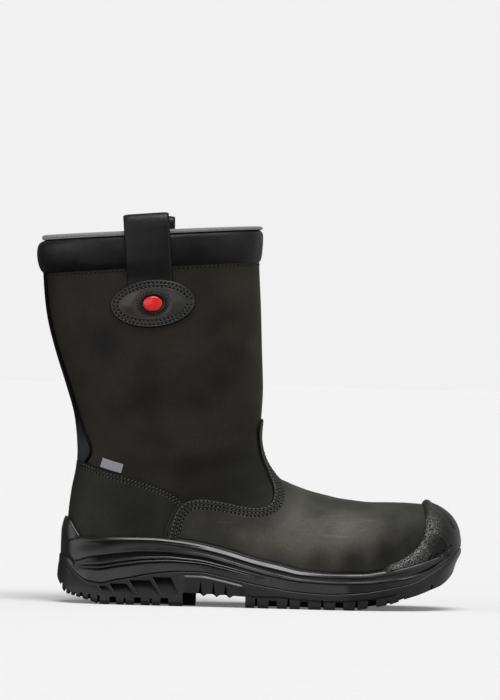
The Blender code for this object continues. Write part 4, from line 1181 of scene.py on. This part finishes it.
def oval_line(half):
    """An oval round the patch's middle, tilted as the patch is."""
    turn = turn_steps(90)
    u, v = turned_about(half[0] * np.cos(turn), half[1] * np.sin(turn), (0, 0), -PATCH_TILT)
    return np.stack((u, v), -1) + PATCH_CENTRE


def build_patch(name, side, slot, solid):
    """Oval patch with two rows of stitches and a padded middle."""

    def pad(inset, points):
        swell = PAD_RISE * (1 - bell(np.maximum(inset - PAD_FROM, 0) / PAD_OVER))
        if side > 0:
            return swell
        u, v = turned_about(points[:, 0], points[:, 2], PATCH_CENTRE, PATCH_TILT)
        return swell * eased(np.hypot(u / BADGE_RECESS[0], v / BADGE_RECESS[1]), 1, 1 + RECESS_SLOPE)

    line = side_line(oval_line(PATCH_HALF), side)
    made = panel(name, line, patch_leather, -SUNK, PATCH_OUT, 1.2, 1.1, pad)
    wear(made, slot, solid)
    rows = [
        oval_row((PATCH_HALF[0] - inset, PATCH_HALF[1] - inset), side, STITCH_PITCH, later)
        for inset, later in insets(PATCH_SEWING)
    ]
    sew(name, rows, (2.0, 0.85, 0.32), (1.5, 1.3, 0.06), slot, thread)


def build_badge():
    """Glossy red dome in a dark ring, on the outer patch."""
    s, a = locate(*PATCH_CENTRE)
    centre = skin(s, -a, PATCH_OUT + BADGE_LIFT)
    normal = form_normal(s, -a)
    along = np.array((math.cos(PATCH_TILT), 0, math.sin(PATCH_TILT)))
    along = unit(along - along @ normal * normal)
    turn = turn_steps(BADGE_TURNS)[:, None]
    oval = BADGE_HALF[0] * np.cos(turn) * along + BADGE_HALF[1] * np.sin(turn) * np.cross(normal, along)

    def dome(name, profile, look):
        rings = [centre + height * normal + share * oval for share, height in profile]
        return face_outward(tube(name, rings, look, end_faces(len(rings), len(turn))[1:]))

    wear(dome("badge_ring", RING_PROFILE, badge_ring), "badge_red")
    wear(dome("badge_dome", DOME_PROFILE, badge_red), "badge_red", "badge")
    row = oval_row(BADGE_SEWING, -1, BADGE_PITCH)
    sew("badge", [row], (1.3, 0.7, 0.3), (1.0, 1.0, 0.08), "patch_leather", thread)


def build_tag():
    made = panel("side_tag_cloth", side_line(TAG_CORNERS, -1), tag_cloth, 0.2, 1.3, 0.5, 0.8)
    wear(made, "tag_weave", "side_tag")


# Sole

SEAM_OUT, SKIRT_OUT, EDGE_OUT = 4.9, 5.6, 4.8
RIM_OUT, PLUG_OUT = 3.3, 0.9
EDGE_HEIGHT = 2.0
HEEL_FLARE, FLARE_X = 1.4, (60.0, 0.0)
TOE_TUCK, TUCK_X = 4.6, (270.0, 306.0)


def sole_outline():
    """The tub's inner face at rim height, as points round the boot and their outward ways."""
    turn = np.linspace(-math.pi, math.pi, 3000, endpoint=False)
    low, high = np.zeros(turn.shape), np.full(turn.shape, TOE - 0.05)
    for _ in range(40):
        middle = (low + high) / 2
        spot = form(middle, turn) + TUB_OUT * form_normal(middle, turn)
        above = spot[:, 2] > table_at(RIM, spot[:, 0])
        low, high = np.where(above, middle, low), np.where(above, high, middle)
    spot = form(low, turn) + TUB_OUT * form_normal(low, turn)
    spot = np.concatenate((spot, spot[:1]))[:, :2]
    whole = lengths(spot)[-1]
    spot = along_line(spot, np.linspace(0, whole, int(whole / SOLE_STEP), endpoint=False))
    for _ in range(6):
        spot = 0.5 * spot + 0.25 * (np.roll(spot, 1, axis=0) + np.roll(spot, -1, axis=0))
    heel, toe = np.array(HEEL_MIDDLE), np.array(TOE_MIDDLE)
    share = np.clip((spot - heel) @ (toe - heel) / ((toe - heel) @ (toe - heel)), 0, 1)
    return spot, unit(spot - heel - share[:, None] * (toe - heel))


def sole_ring(outline, out, z):
    """A ring round the sole at a distance out. z is its height, or a function that gives it at x."""
    spot, way = outline
    flat = spot + np.broadcast_to(out, len(spot))[:, None] * way
    return np.column_stack((flat, np.broadcast_to(z(flat[:, 0]) if callable(z) else z, len(spot))))


def seen_x(outline, out):
    return outline[0][:, 0] + out * outline[1][:, 0]


def tread_tuck(x):
    """How far the tread's edge stands out at the heel, and in at the toe."""
    return HEEL_FLARE * part_way(x, *FLARE_X) - TOE_TUCK * part_way(x, *TUCK_X)


def held(x, rise, fall):
    """Share that rises over one stretch and falls over another."""
    return np.minimum(part_way(x, *rise), part_way(x, *fall))


# Midsole: its side from the seam to the top rib, where the lower ribs have faded
# Rows give the share of that height and the distance out
PLAIN_SIDE = (
    (0, 4.2),
    *((share, 4.75 - 0.8 * share ** 1.5) for share in np.linspace(0.03, 0.9, 15)),
    (0.94, 3.7),
    (0.965, 3.5),
    (0.985, 4.45),
    (1, 4.55),
)
# Each lower rib spans a share of the height, rounded back from its lip, with grooves between
Rib = namedtuple("Rib", "low high lip back power")
RIBS = rows_of(Rib, (0.03, 0.46, 4.9, 1, 1.2), (0.535, 0.6, 4.75, 0.45, 2), (0.68, 0.77, 4.75, 0.55, 2))
RIBS_RISE, RIBS_FALL = (18.0, 32.0), (166.0, 122.0)
GROOVE_OUT, GROOVE_SLOPE = 2.90, 0.020
# Above the top rib, at the heel's end, along the heel, along the arch, past the ball and round the toe
# Rows give the share of the height to the rim and the distance out of the hollow and the rolled rim
HEEL_RIM = ((0, 4.6), (0.3, 4.5), (0.63, 4.25), (0.7, 3.95), (0.79, 3.45), (0.88, 2.85), (0.96, 2.15),
            (1, 1.6))
BACK_RIM = ((0, 4.6), (0.05, 4.55), (0.15, 4.25), (0.3, 3.8), (0.45, 3.45), (0.6, 3.2), (0.7, 3.15),
            (0.74, 3.35), (0.78, 4), (0.8, 4.25), (0.82, 4.3), (0.86, 4.05), (0.95, 3.25), (0.99, 2.75),
            (1, 2.3))
SIDE_RIM = ((0, 4.6), (0.03, 4.7), (0.1, 4.45), (0.2, 4.05), (0.3, 3.6), (0.42, 3.3), (0.5, 3.1),
            (0.54, 3.25), (0.58, 3.95), (0.61, 4.3), (0.64, 4.32), (0.68, 4.1), (0.92, 2.5),
            (0.97, 1.95), (1, 1.4))
BALL_RIM = ((0, 4.6), (0.03, 4.66), (0.12, 4.42), (0.25, 3.95), (0.4, 3.65), (0.48, 3.5), (0.53, 3.65),
            (0.57, 4.15), (0.61, 4.3), (0.75, 3.95), (0.88, 3.4), (0.96, 2.7), (1, 1.9))
TOE_RIM = ((0, 4.6), (0.03, 4.7), (0.06, 4.4), (0.1, 3.3), (0.16, 2.9), (0.22, 3.1), (0.27, 4), (0.32, 4.35),
           (0.45, 4.5), (0.6, 4.5), (0.7, 4.4), (0.8, 4.1), (0.9, 3.5), (0.96, 2.7), (1, 1.9))
RIMS = (HEEL_RIM, BACK_RIM, SIDE_RIM, BALL_RIM, TOE_RIM)
RIM_CHANGES = ((12, 44), (66, 122), (170, 214), (256, 286))
# Turned-in top edge: distance out and drop
RIM_TOP = ((0.2, 0.0), (-1.5, 1.5))
# Painted shade darkens hollows of the side where they stand back of a level, up to a share of the height
# under the rim. Most of all at the rear of the cove: middle and half sizes there as x and share, and depth as
# for a recess
HOLLOW_LEVEL, HOLLOW_SHADE, HOLLOW_TOP = 3.6, 5.0, 0.8
COVE_MIDDLE, COVE_HALF, COVE_SHADE = (33.0, 0.48), (15.0, 0.28), 3.0
# Rear end of the raised side, as rows of z and x, and how far it stands out there
SIDE_END = ((31.4, 13.1), (38.2, 7.6), (44.3, 5.1), (47.5, 8.9), (50.8, 18.1))
SIDE_STEP, SIDE_SOFT, SIDE_FADE, SIDE_FOOT = 1.0, 0.5, 45.0, 6.0


def rim_out(share, x):
    """How far out the side stands over the top rib: plain at the heel, then hollow, then with a bead."""
    outs = [table_at(rows, share) for rows in RIMS]
    steps = zip(outs, outs[1:], RIM_CHANGES)
    return outs[0] + sum((after - before) * eased(x, *change) for before, after, change in steps)


def ribbed_side():
    """Rows of share and distance out over the lower ribs and the grooves between them."""
    rows = [PLAIN_SIDE[0]]
    for rib in RIBS:
        if rib is not RIBS[0]:
            rows.append((rib.low - GROOVE_SLOPE, GROOVE_OUT))
        for t in np.linspace(0, 1, 7):
            rows.append((rib.low + t * (rib.high - rib.low), rib.lip - rib.back * t ** rib.power))
        rows.append((rib.high + GROOVE_SLOPE, GROOVE_OUT))
    return rows + [(PLAIN_SIDE[-2][0] - GROOVE_SLOPE, GROOVE_OUT), *PLAIN_SIDE[-2:]]


def side_raise(x, z):
    """How far the raised side stands out of the heel, near its rear end."""
    past = x - table_at(SIDE_END, z)
    low = part_way(z, SIDE_END[0][0] - SIDE_FOOT, SIDE_END[0][0])
    begun = 1 / (1 + np.exp(-np.clip(past / SIDE_SOFT, -40, 40)))
    return SIDE_STEP * low * begun * bell(np.maximum(past, 0) / SIDE_FADE)


def midsole_ring(outline, out, z):
    """A ring round the midsole, with the end of its raised side."""
    ring = sole_ring(outline, out, z)
    ring[:, :2] += side_raise(ring[:, 0], ring[:, 2])[:, None] * outline[1]
    return ring


def hollow_shade_depth(out):
    """Depth of painted shade in a groove or hollow of the side, as the look of a recess takes it."""
    return HOLLOW_SHADE * np.maximum(HOLLOW_LEVEL - out, 0)


def cove_shade_depth(share, x):
    """The same for the hollow under the rim."""
    depth = hollow_shade_depth(rim_out(share, x)) if share < HOLLOW_TOP else 0.0
    away = (x - COVE_MIDDLE[0]) / COVE_HALF[0], (share - COVE_MIDDLE[1]) / COVE_HALF[1]
    return depth + COVE_SHADE * bell(*away)


def build_midsole(outline):
    """Tub with ribbed sides, a rolled rim and the spur up the heel."""
    x, seam_x, rim_x = (seen_x(outline, out) for out in (0.0, SEAM_OUT, RIM_OUT))
    seam, rib = table_at(SEAM, seam_x) + FIT, table_at(RIB, seam_x)
    high_rib, rim = table_at(RIB, rim_x), table_at(RIM, rim_x)
    ribbed = ribbed_side()
    rings = [sole_ring(outline, PLUG_OUT, seam)]
    shade_depths = [np.zeros(len(x))]

    def side_out(share, x):
        plain = table_at(PLAIN_SIDE, share)
        return plain + (table_at(ribbed, share) - plain) * held(x, RIBS_RISE, RIBS_FALL)

    shares = [share for share, _ in ribbed]
    halves = [0.5 * (low + high) for low, high in zip(shares, shares[1:])]
    for share in sorted({round(float(s), 4) for s in (*shares, *halves, *np.linspace(0.025, 0.985, 25))}):
        rings.append(midsole_ring(outline, side_out(share, x), seam + share * (rib - seam)))
        shade_depths.append(hollow_shade_depth(side_out(share, rings[-1][:, 0])))
    for share in np.linspace(0.02, 1, 50):
        rings.append(midsole_ring(outline, rim_out(share, x), high_rib + share * (rim - high_rib)))
        shade_depths.append(cove_shade_depth(share, rings[-1][:, 0]))
    for out, drop in RIM_TOP:
        rings.append(sole_ring(outline, out, rim - drop))
        shade_depths.append(shade_depths[0])
    made = face_outward(tube("midsole_tub", rings, foam))
    # Painted shade in the side's grooves and the cove, through the look of a recess
    add_values(made, "recess_shade_mm", np.concatenate(shade_depths))
    wear(made, "foam", "midsole")


# Cutters of the tread
# Slots are given by where they start, how wide and high they are and how far from the middle line they stop

Slot = namedtuple("Slot", "start width depth stop", defaults=(7.0,))
TREAD_SLOTS = rows_of(
    Slot,
    (18.4, 1.6, 8.6), (24.6, 1.6, 7.6), (31.8, 1.6, 7), (41, 5, 6), (52, 1.5, 5.5), (60, 5, 6),
    (72, 1.5, 5.5), (80, 6, 6), (152.6, 1.5, 7.5), (163, 6, 6), (177.4, 1.5, 7.5), (187, 6, 6),
    (203.2, 1.5, 7.5), (214, 6, 6), (229.2, 1.5, 8), (239, 6, 8.5, 22),
    (253.4, 2.2, 8, 24), (262.6, 4, 10.5, 24),
)
SLOT_SPREAD, SLOT_STAGGER = 0.12, 3.0
# Slots right across the rounded back of the heel: where, and how wide and high over the tread
HEEL_SLOTS = (3.4, 6.7, 10.5, 14.5)
HEEL_SLOT_WIDTH, HEEL_SLOT_RISE = 1.5, 2.8
ARCH_FROM, ARCH_TO = 97.0, 145.0
ARCH_HEIGHTS = ((97.0, 10.6), (121.0, 9.8), (145.0, 8.6))
ARCH_RIBS, ARCH_RIB = (113.0, 123.0, 133.0), 1.8
BREAST_TO, BREAST_Y = 106.5, -24.0
CHANNEL_WIDTH, CHANNEL_DEPTH, CHANNEL_INTO_ARCH = 5.0, 5.6, 6.0
HEEL_CHANNEL_Y, HEEL_CHANNEL_FROM, HEEL_CHANNEL_DEEP = 0.0, 28.0, 34.0
FOREFOOT_CHANNELS = (-17.0, 19.0)
FOREFOOT_CHANNEL_RISE, FOREFOOT_CHANNEL_TO = 240.0, 262.0
# Scoops in the heel's wall, and pointed notches in the wall over the arch
Flute = namedtuple("Flute", "top_back top_front top_z low_back low_front low_z depth low_depth")
FLUTES = rows_of(
    Flute,
    (31.5, 38.2, 14, 36, 43.2, 8.6, 3, -0.2),
    (40.2, 54, 16.2, 46, 61.6, 6.6, 4.2, -0.2),
    (55.4, 71.8, 19.2, 63, 80.8, 6.6, 4.2, -0.2),
    (73.2, 88, 21.8, 82.2, 94.8, 6.6, 4.2, -0.2),
)
ARCH_NOTCHES = rows_of(Flute, *(
    (x, x + 0.4, top, x - 1.8, x + 2, 6, 4, 4) for x, top in ((110.4, 19.4), (120.4, 18.4), (129.7, 17))
))
FLUTE_EDGE, FLUTE_ROUND = 0.45, 8
# Narrow notches in the tread's edge, at two places each side of the toe
NOTCH_TOE = (287.0, 303.0)
NOTCH_WIDTH, NOTCH_IN, NOTCH_OUT, NOTCH_DOWN, NOTCH_UP = 2.0, 4.0, 4.0, -4.0, 3.9
FAR, UNDER_TREAD = 160.0, -5.0


def cutter(name, prisms):
    """One hidden cutting mesh from prisms, each with the corners of its first end and of its second."""
    faces, start = [], 0
    for first, _ in prisms:
        faces += end_faces(2, len(first), start) + ring_faces(2, len(first), start)
        start += 2 * len(first)
    points = np.concatenate([np.concatenate(ends) for ends in prisms])
    return face_outward(add_object(name, points, faces, rubber))


def across_prism(outline, near, far):
    """A prism across the boot, from an outline in the side view."""
    return [np.array([(x, y, z) for x, z in outline]) for y in (near, far)]


def carve(made, tool):
    """Cuts a tool out of a piece for good, and throws the tool away."""
    change = made.modifiers.new("carve", "BOOLEAN")
    change.object = tool
    change.operation = "DIFFERENCE"
    change.solver = "EXACT"
    graph = bpy.context.evaluated_depsgraph_get()
    cut = bpy.data.meshes.new_from_object(made.evaluated_get(graph))
    made.modifiers.clear()
    made.data = cut
    bpy.data.objects.remove(tool)


def tread_slots():
    prisms = []
    for slot in TREAD_SLOTS:
        spread = SLOT_SPREAD * slot.depth
        end = slot.start + slot.width
        notch = np.array((
            (slot.start - spread, UNDER_TREAD),
            (end + spread, UNDER_TREAD),
            (end, slot.depth),
            (slot.start, slot.depth),
        ))
        prisms.append(across_prism(notch, -FAR, -slot.stop))
        prisms.append(across_prism(notch + (SLOT_STAGGER, 0), slot.stop, FAR))
    return cutter("tread_slots", prisms)


def heel_slots():
    prisms = []
    half = HEEL_SLOT_WIDTH / 2
    for x in HEEL_SLOTS:
        top = table_at(TREAD, x) + HEEL_SLOT_RISE
        notch = ((x - half, UNDER_TREAD), (x + half, UNDER_TREAD), (x + half, top), (x - half, top))
        prisms.append(across_prism(notch, -FAR, FAR))
    return cutter("heel_slots", prisms)


def tread_channels():
    heel_end, front_start = ARCH_FROM + CHANNEL_INTO_ARCH, ARCH_TO - CHANNEL_INTO_ARCH
    heel = (
        (HEEL_CHANNEL_FROM, UNDER_TREAD),
        (heel_end, UNDER_TREAD),
        (heel_end, CHANNEL_DEPTH),
        (HEEL_CHANNEL_DEEP, CHANNEL_DEPTH),
    )
    front = (
        (front_start, UNDER_TREAD),
        (FOREFOOT_CHANNEL_TO, UNDER_TREAD),
        (FOREFOOT_CHANNEL_TO, CHANNEL_DEPTH + table_at(TREAD, FOREFOOT_CHANNEL_TO)),
        (FOREFOOT_CHANNEL_RISE, CHANNEL_DEPTH),
        (front_start, CHANNEL_DEPTH),
    )
    half = CHANNEL_WIDTH / 2
    channels = [(heel, HEEL_CHANNEL_Y), *((front, y) for y in FOREFOOT_CHANNELS)]
    return cutter("tread_channels", [across_prism(side, y - half, y + half) for side, y in channels])


def arch_hollow(start, near, far):
    """The hollow under the arch, with small ribs in its roof, from a start to the forefoot."""
    roof = []
    for x, z in curve(ARCH_HEIGHTS, 40):
        if x >= start:
            roof.append((x, z - ARCH_RIB * max(bell((x - middle) / ARCH_RIB) for middle in ARCH_RIBS)))
    outline = [(start, UNDER_TREAD), *roof, (ARCH_TO, UNDER_TREAD)]
    return cutter("arch_hollow", [across_prism(outline, near, far)])


def wall_at(outline, x, side):
    """How far from the middle line the sole's wall stands at x."""
    spot, way = outline
    wall = (spot + SKIRT_OUT * way)[side * way[:, 1] > 0.5]
    order = np.argsort(wall[:, 0])
    return np.interp(x, wall[order, 0], np.abs(wall[order, 1]))


def side_hollows(outline, name, flutes):
    """Cutters for hollows in both walls, each with its own depth at its top and its foot."""
    prisms = []
    for side in SIDES:
        for flute in flutes:
            corners = (
                (flute.top_back, flute.top_z, flute.depth),
                (flute.top_front, flute.top_z, flute.depth),
                (flute.low_front, flute.low_z, flute.low_depth),
                (flute.low_back, flute.low_z, flute.low_depth),
            )
            inner = [(x, side * (wall_at(outline, x, side) - depth), z) for x, z, depth in corners]
            prisms.append((inner, [(x, side * FAR, z) for x, z, _ in corners]))
    return cutter(name, prisms)


def edge_notches(outline):
    spot, way = outline
    edge = spot + (EDGE_OUT + tread_tuck(spot[:, 0]))[:, None] * way
    prisms = []
    for x in NOTCH_TOE:
        for side in SIDES:
            other_side = side * (edge[:, 1] - TOE_MIDDLE[1]) < 0
            i = np.argmin(np.abs(edge[:, 0] - x) + FAR * other_side)
            aside = 0.5 * NOTCH_WIDTH * np.array((-way[i, 1], way[i, 0]))
            outer, inner = edge[i] + NOTCH_OUT * way[i], edge[i] - NOTCH_IN * way[i]
            base = np.array((outer - aside, outer + aside, inner + aside, inner - aside))
            low = table_at(TREAD, edge[i, 0])
            prisms.append([np.column_stack((base, np.full(4, low + z))) for z in (NOTCH_DOWN, NOTCH_UP)])
    return cutter("edge_notches", prisms)


def build_flute_edges(outline):
    """Thin bead along the back edge of each flute, in paler rubber that paints the glint of that edge."""
    turns = turn_steps(FLUTE_ROUND)
    points, faces = [], []
    for side in SIDES:
        for flute in FLUTES:
            line = even_polyline(((flute.top_back, flute.top_z), (flute.low_back, flute.low_z)), 1.0)
            run = unit(line[-1] - line[0])
            start = len(points) * FLUTE_ROUND
            faces += ring_faces(len(line), FLUTE_ROUND, start) + end_faces(len(line), FLUTE_ROUND, start)
            swell = FLUTE_EDGE * np.sqrt(np.sin(math.pi * np.linspace(0.03, 0.97, len(line))))
            for (x, z), size in zip(line, swell):
                across, up = size * np.cos(turns), size * np.sin(turns)
                wall = side * (wall_at(outline, x, side) + up)
                points.append(np.column_stack((x + across * run[1], wall, z - across * run[0])))
    wear(face_outward(add_object("flute_edges", points, faces, flute_glint_rubber)), "rubber")


# Outsole

LIP_OUT = 5.5
LIP_LEVELS = ((4.6, 0.0), (5.1, 0.08), (5.36, 0.3), (5.5, 0.7))
WALL_IN, WALL_DROP, PLATE_IN = -1.5, 1.0, -4.5
LEDGE_DROP, LEDGE_LIP = 3.9, 1.3
LEDGE_IN, LEDGE_PROUD = 0.2, 0.8
LEDGE_RISE, LEDGE_FALL = (95.0, 97.5), (144.0, 141.5)
# Groove over the lugs: its height over the tread, room below the ledge and half its width
# It lies in by more than the lugs do
LUG_LINE, LUG_ROOM, LUG_HALF = 8.8, 1.6, 0.35
LUG_GROOVE, LUG_INSET = 1.1, 0.4
LUG_RISE, LUG_FALL = (146.0, 152.0), (264.0, 258.0)
# Rings of the wall: shares of the way from the ledge to the groove and to the edge, halves over it, and inset
WallRow = namedtuple("WallRow", "to_groove to_edge halves inset")
WALL_ROWS = rows_of(
    WallRow,
    *((share, 0, 2, 0) for share in (0.08, 0.4, 0.7, 1)),
    (1, 0, 1, LUG_GROOVE),
    (1, 0, -1, LUG_GROOVE),
    (1, 0, -2, LUG_INSET),
    *((1 - share, share, -2, LUG_INSET) for share in (0.3, 0.65, 1)),
)
SHARP_FROM = math.radians(35)


def seam_at(x):
    return table_at(SEAM, x) - FIT


def edge_at(x):
    return table_at(TREAD, x) + EDGE_HEIGHT


def ledge_at(x):
    return seam_at(x) - np.minimum(LEDGE_DROP, 0.5 * (seam_at(x) - edge_at(x)))


def ledge_strength(x):
    return held(x, LEDGE_RISE, LEDGE_FALL)


def wall_ring(outline, row):
    """A ring of the wall between its ledge and its lower edge."""

    def height(x):
        ledge = ledge_at(x)
        groove = np.minimum(table_at(TREAD, x) + LUG_LINE, ledge - LUG_ROOM) + row.halves * LUG_HALF
        return ledge + row.to_groove * (groove - ledge) + row.to_edge * (edge_at(x) - ledge)

    x = seen_x(outline, 0.0)
    share = (ledge_at(x) - height(x)) / (ledge_at(x) - edge_at(x))
    out = LIP_OUT + (SKIRT_OUT - LIP_OUT) * share
    out = out + (1 - share) * LEDGE_PROUD * ledge_strength(x) + share * tread_tuck(x)
    return sole_ring(outline, out - row.inset * eased(x, *LUG_RISE) * eased(x, *LUG_FALL), height)


def across_faces(start, count):
    """Faces across the sole between the two sides of one ring, which starts at the heel."""
    faces = []
    for i in range(count // 2):
        corners = (start + i, start + i + 1, start + (count - i - 1) % count, start + (count - i) % count)
        corners = tuple(dict.fromkeys(corners))
        if len(corners) > 2:
            faces.append(corners)
    return faces


def outsole_rings(outline):
    x, plug_x, seam_x = (seen_x(outline, out) for out in (0.0, PLUG_OUT, SEAM_OUT))
    seam, ledge = seam_at(seam_x), ledge_at(seam_x)
    lip = seam - LIP_LEVELS[-1][1]
    under = np.minimum(ledge + LEDGE_LIP * ledge_strength(seam_x) - lip, 0)
    levels = [
        (PLATE_IN, table_at(PLATE, plug_x)),
        (WALL_IN, seam_at(plug_x) - WALL_DROP),
        (PLUG_OUT, seam),
        *((out, seam - drop) for out, drop in LIP_LEVELS),
        *((LIP_OUT - LEDGE_IN * ledge_strength(x), lip + share * under) for share in (0.5, 0.97)),
        (LIP_OUT + LEDGE_PROUD * ledge_strength(x), ledge),
    ]
    foot = sole_ring(outline, EDGE_OUT + tread_tuck(x), lambda x: table_at(TREAD, x))
    wall = [wall_ring(outline, row) for row in WALL_ROWS]
    return [*(sole_ring(outline, *level) for level in levels), *wall, foot]


def build_outsole(outline):
    """Rubber bottom: side skirt with a ledge over the arch, lugs and toe wrap."""
    rings = outsole_rings(outline)
    count = len(rings[0])
    closing = across_faces(0, count) + across_faces((len(rings) - 1) * count, count)
    made = face_outward(tube("outsole_rubber", rings, rubber, closing))
    tools = (
        tread_slots(),
        heel_slots(),
        tread_channels(),
        arch_hollow(ARCH_FROM, -FAR, BREAST_Y),
        arch_hollow(BREAST_TO, BREAST_Y - 1.0, FAR),
        side_hollows(outline, "heel_flutes", FLUTES),
        side_hollows(outline, "arch_notches", ARCH_NOTCHES),
        edge_notches(outline),
    )
    for tool in tools:
        carve(made, tool)
    made.data.shade_smooth()
    made.data.set_sharp_from_angle(angle=SHARP_FROM)
    # Depth in from the side, which the rubber's look turns into painted shade
    add_values(made, "recess_shade_mm", side_depths(made, outline))
    wear(made, "rubber", "outsole")


def side_depths(made, outline):
    """How far each point of the outsole lies in from its side."""
    spot, way = outline
    tree = tree_of(np.column_stack((spot, np.zeros(len(spot)))))
    flat = points_of(made)[:, :2]
    near = np.array([tree.find((x, y, 0))[1] for x, y in flat])
    out = ((flat - spot[near]) * way[near]).sum(-1)
    return np.maximum(SKIRT_OUT + tread_tuck(flat[:, 0]) - out, 0)


def dress_insole():
    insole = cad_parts["insole"]
    insole.data.materials.clear()
    insole.data.materials.append(footbed_cloth)


# Stage

PICTURE_HEIGHT, SENSOR, PIXEL_MM = 700, 36.0, 0.7695
ROLL = 0.0233
# Distance from the plane that the pixel size holds for, and how far that lies in front of the middle line
CAMERA_DISTANCE, PLANE_FRONT = 4800.0, 15.0
AIM = (144.2, 197.2)
FLOOR_HALF = 30.0
PAPER_GREY, PAPER_GLOW, PAPER_MOTTLE = 0.62, 0.126, 40.0
GROUND_GLOW = 0.880
DOME_FRONT, DOME_BACK = 0.08, 0.60
DOME_WAY = (0.97, 0.25, 0.0)
Key = namedtuple("Key", "name way spread strength")
KEYS = rows_of(
    Key,
    ("key", (0.12, -0.35, 1.0), 36.0, 3.0),
    ("side_fill", (-0.35, -0.90, 0.12), 40.0, 0.50),
    ("heel_fill", (-0.90, -0.35, 0.25), 50.0, 0.95),
    ("toe_fill", (0.85, -0.45, 0.30), 40.0, 0.15),
)


def build_camera():
    """Long lens level with the shaft, rolled as in the photograph."""
    data = bpy.data.cameras.new("camera")
    data.sensor_width = SENSOR
    data.lens = SENSOR / PICTURE_HEIGHT / PIXEL_MM * CAMERA_DISTANCE
    data.clip_end = 50
    camera = link("camera", data)
    camera.matrix_world = (
        Matrix.Translation(place((AIM[0], -CAMERA_DISTANCE - PLANE_FRONT, AIM[1])))
        @ Matrix.Rotation(math.pi / 2, 4, "X")
        @ Matrix.Rotation(ROLL, 4, "Z")
    )
    bpy.context.scene.camera = camera


def build_floor():
    """Plain pale floor of faintly mottled paper, lit a little through so that shadows stay pale."""
    mesh = bpy.data.meshes.new("floor")
    corners = ((-1, -1), (1, -1), (1, 1), (-1, 1))
    mesh.from_pydata([(x * FLOOR_HALF, y * FLOOR_HALF, 0.0) for x, y in corners], [], [(0, 1, 2, 3)])
    look, tree, shader = new_look("floor_paper", (PAPER_GREY, PAPER_GREY, PAPER_GREY), 0.9, 0.0)
    grain = noise(tree, object_place(tree), PAPER_MOTTLE)
    mottle = ramp(tree, grain, (0.3, 0.99 * PAPER_GREY), (0.7, 1.01 * PAPER_GREY))
    tree.links.new(mottle, shader.inputs["Base Color"])
    shader.inputs["Emission Color"].default_value = (1, 1, 1, 1)
    shader.inputs["Emission Strength"].default_value = PAPER_GLOW
    mesh.materials.append(look)
    floor = link("floor", mesh)
    floor.visible_glossy = False


def build_lights():
    """Broad soft key from above and a dome that is pale behind the toe and dim in front of the boot."""
    world = bpy.data.worlds.new("studio")
    world.use_nodes = True
    tree = world.node_tree
    dome = tree.nodes["Background"]
    ways = {0: node(tree, "TexCoord", "Generated", {}), 1: DOME_WAY}
    behind = node(tree, "VectorMath", "Value", ways, operation="DOT_PRODUCT")
    share = math_node(tree, "MULTIPLY_ADD", behind, 0.5, 0.5)
    tree.links.new(ramp(tree, share, (0.45, DOME_FRONT), (0.90, DOME_BACK)), dome.inputs["Color"])
    ground = node(tree, "Background", 0, {"Color": (1, 1, 1), "Strength": GROUND_GLOW})
    seen = node(tree, "LightPath", "Is Camera Ray", {})
    both = node(tree, "MixShader", 0, {"Fac": seen, 1: dome.outputs[0], 2: ground})
    tree.links.new(both, tree.nodes["World Output"].inputs["Surface"])
    bpy.context.scene.world = world
    for row in KEYS:
        data = bpy.data.lights.new(row.name, "SUN")
        data.energy = row.strength
        data.angle = math.radians(row.spread)
        link(row.name, data).rotation_euler = (-Vector(row.way)).to_track_quat("-Z", "Y").to_euler()
    bpy.context.scene.view_settings.view_transform = "Standard"


build_upper()
build_lining_sleeve()
build_vamp()
build_counter()
build_back_strip()
build_toe_cap()
build_cuff()
build_lining_rim()
build_loop("strap_lateral", -1, "strap_leather", LOOP_LEAN)
build_loop("strap_medial", 1, "medial_strap", INNER_LEAN)
build_patch("patch_lateral", -1, "patch_leather", "loop_patch_lateral")
build_patch("patch_medial", 1, "medial_patch", "loop_patch_medial")
build_badge()
build_tag()
outline = sole_outline()
build_midsole(outline)
build_outsole(outline)
build_flute_edges(outline)
dress_insole()
build_camera()
build_floor()
build_lights()
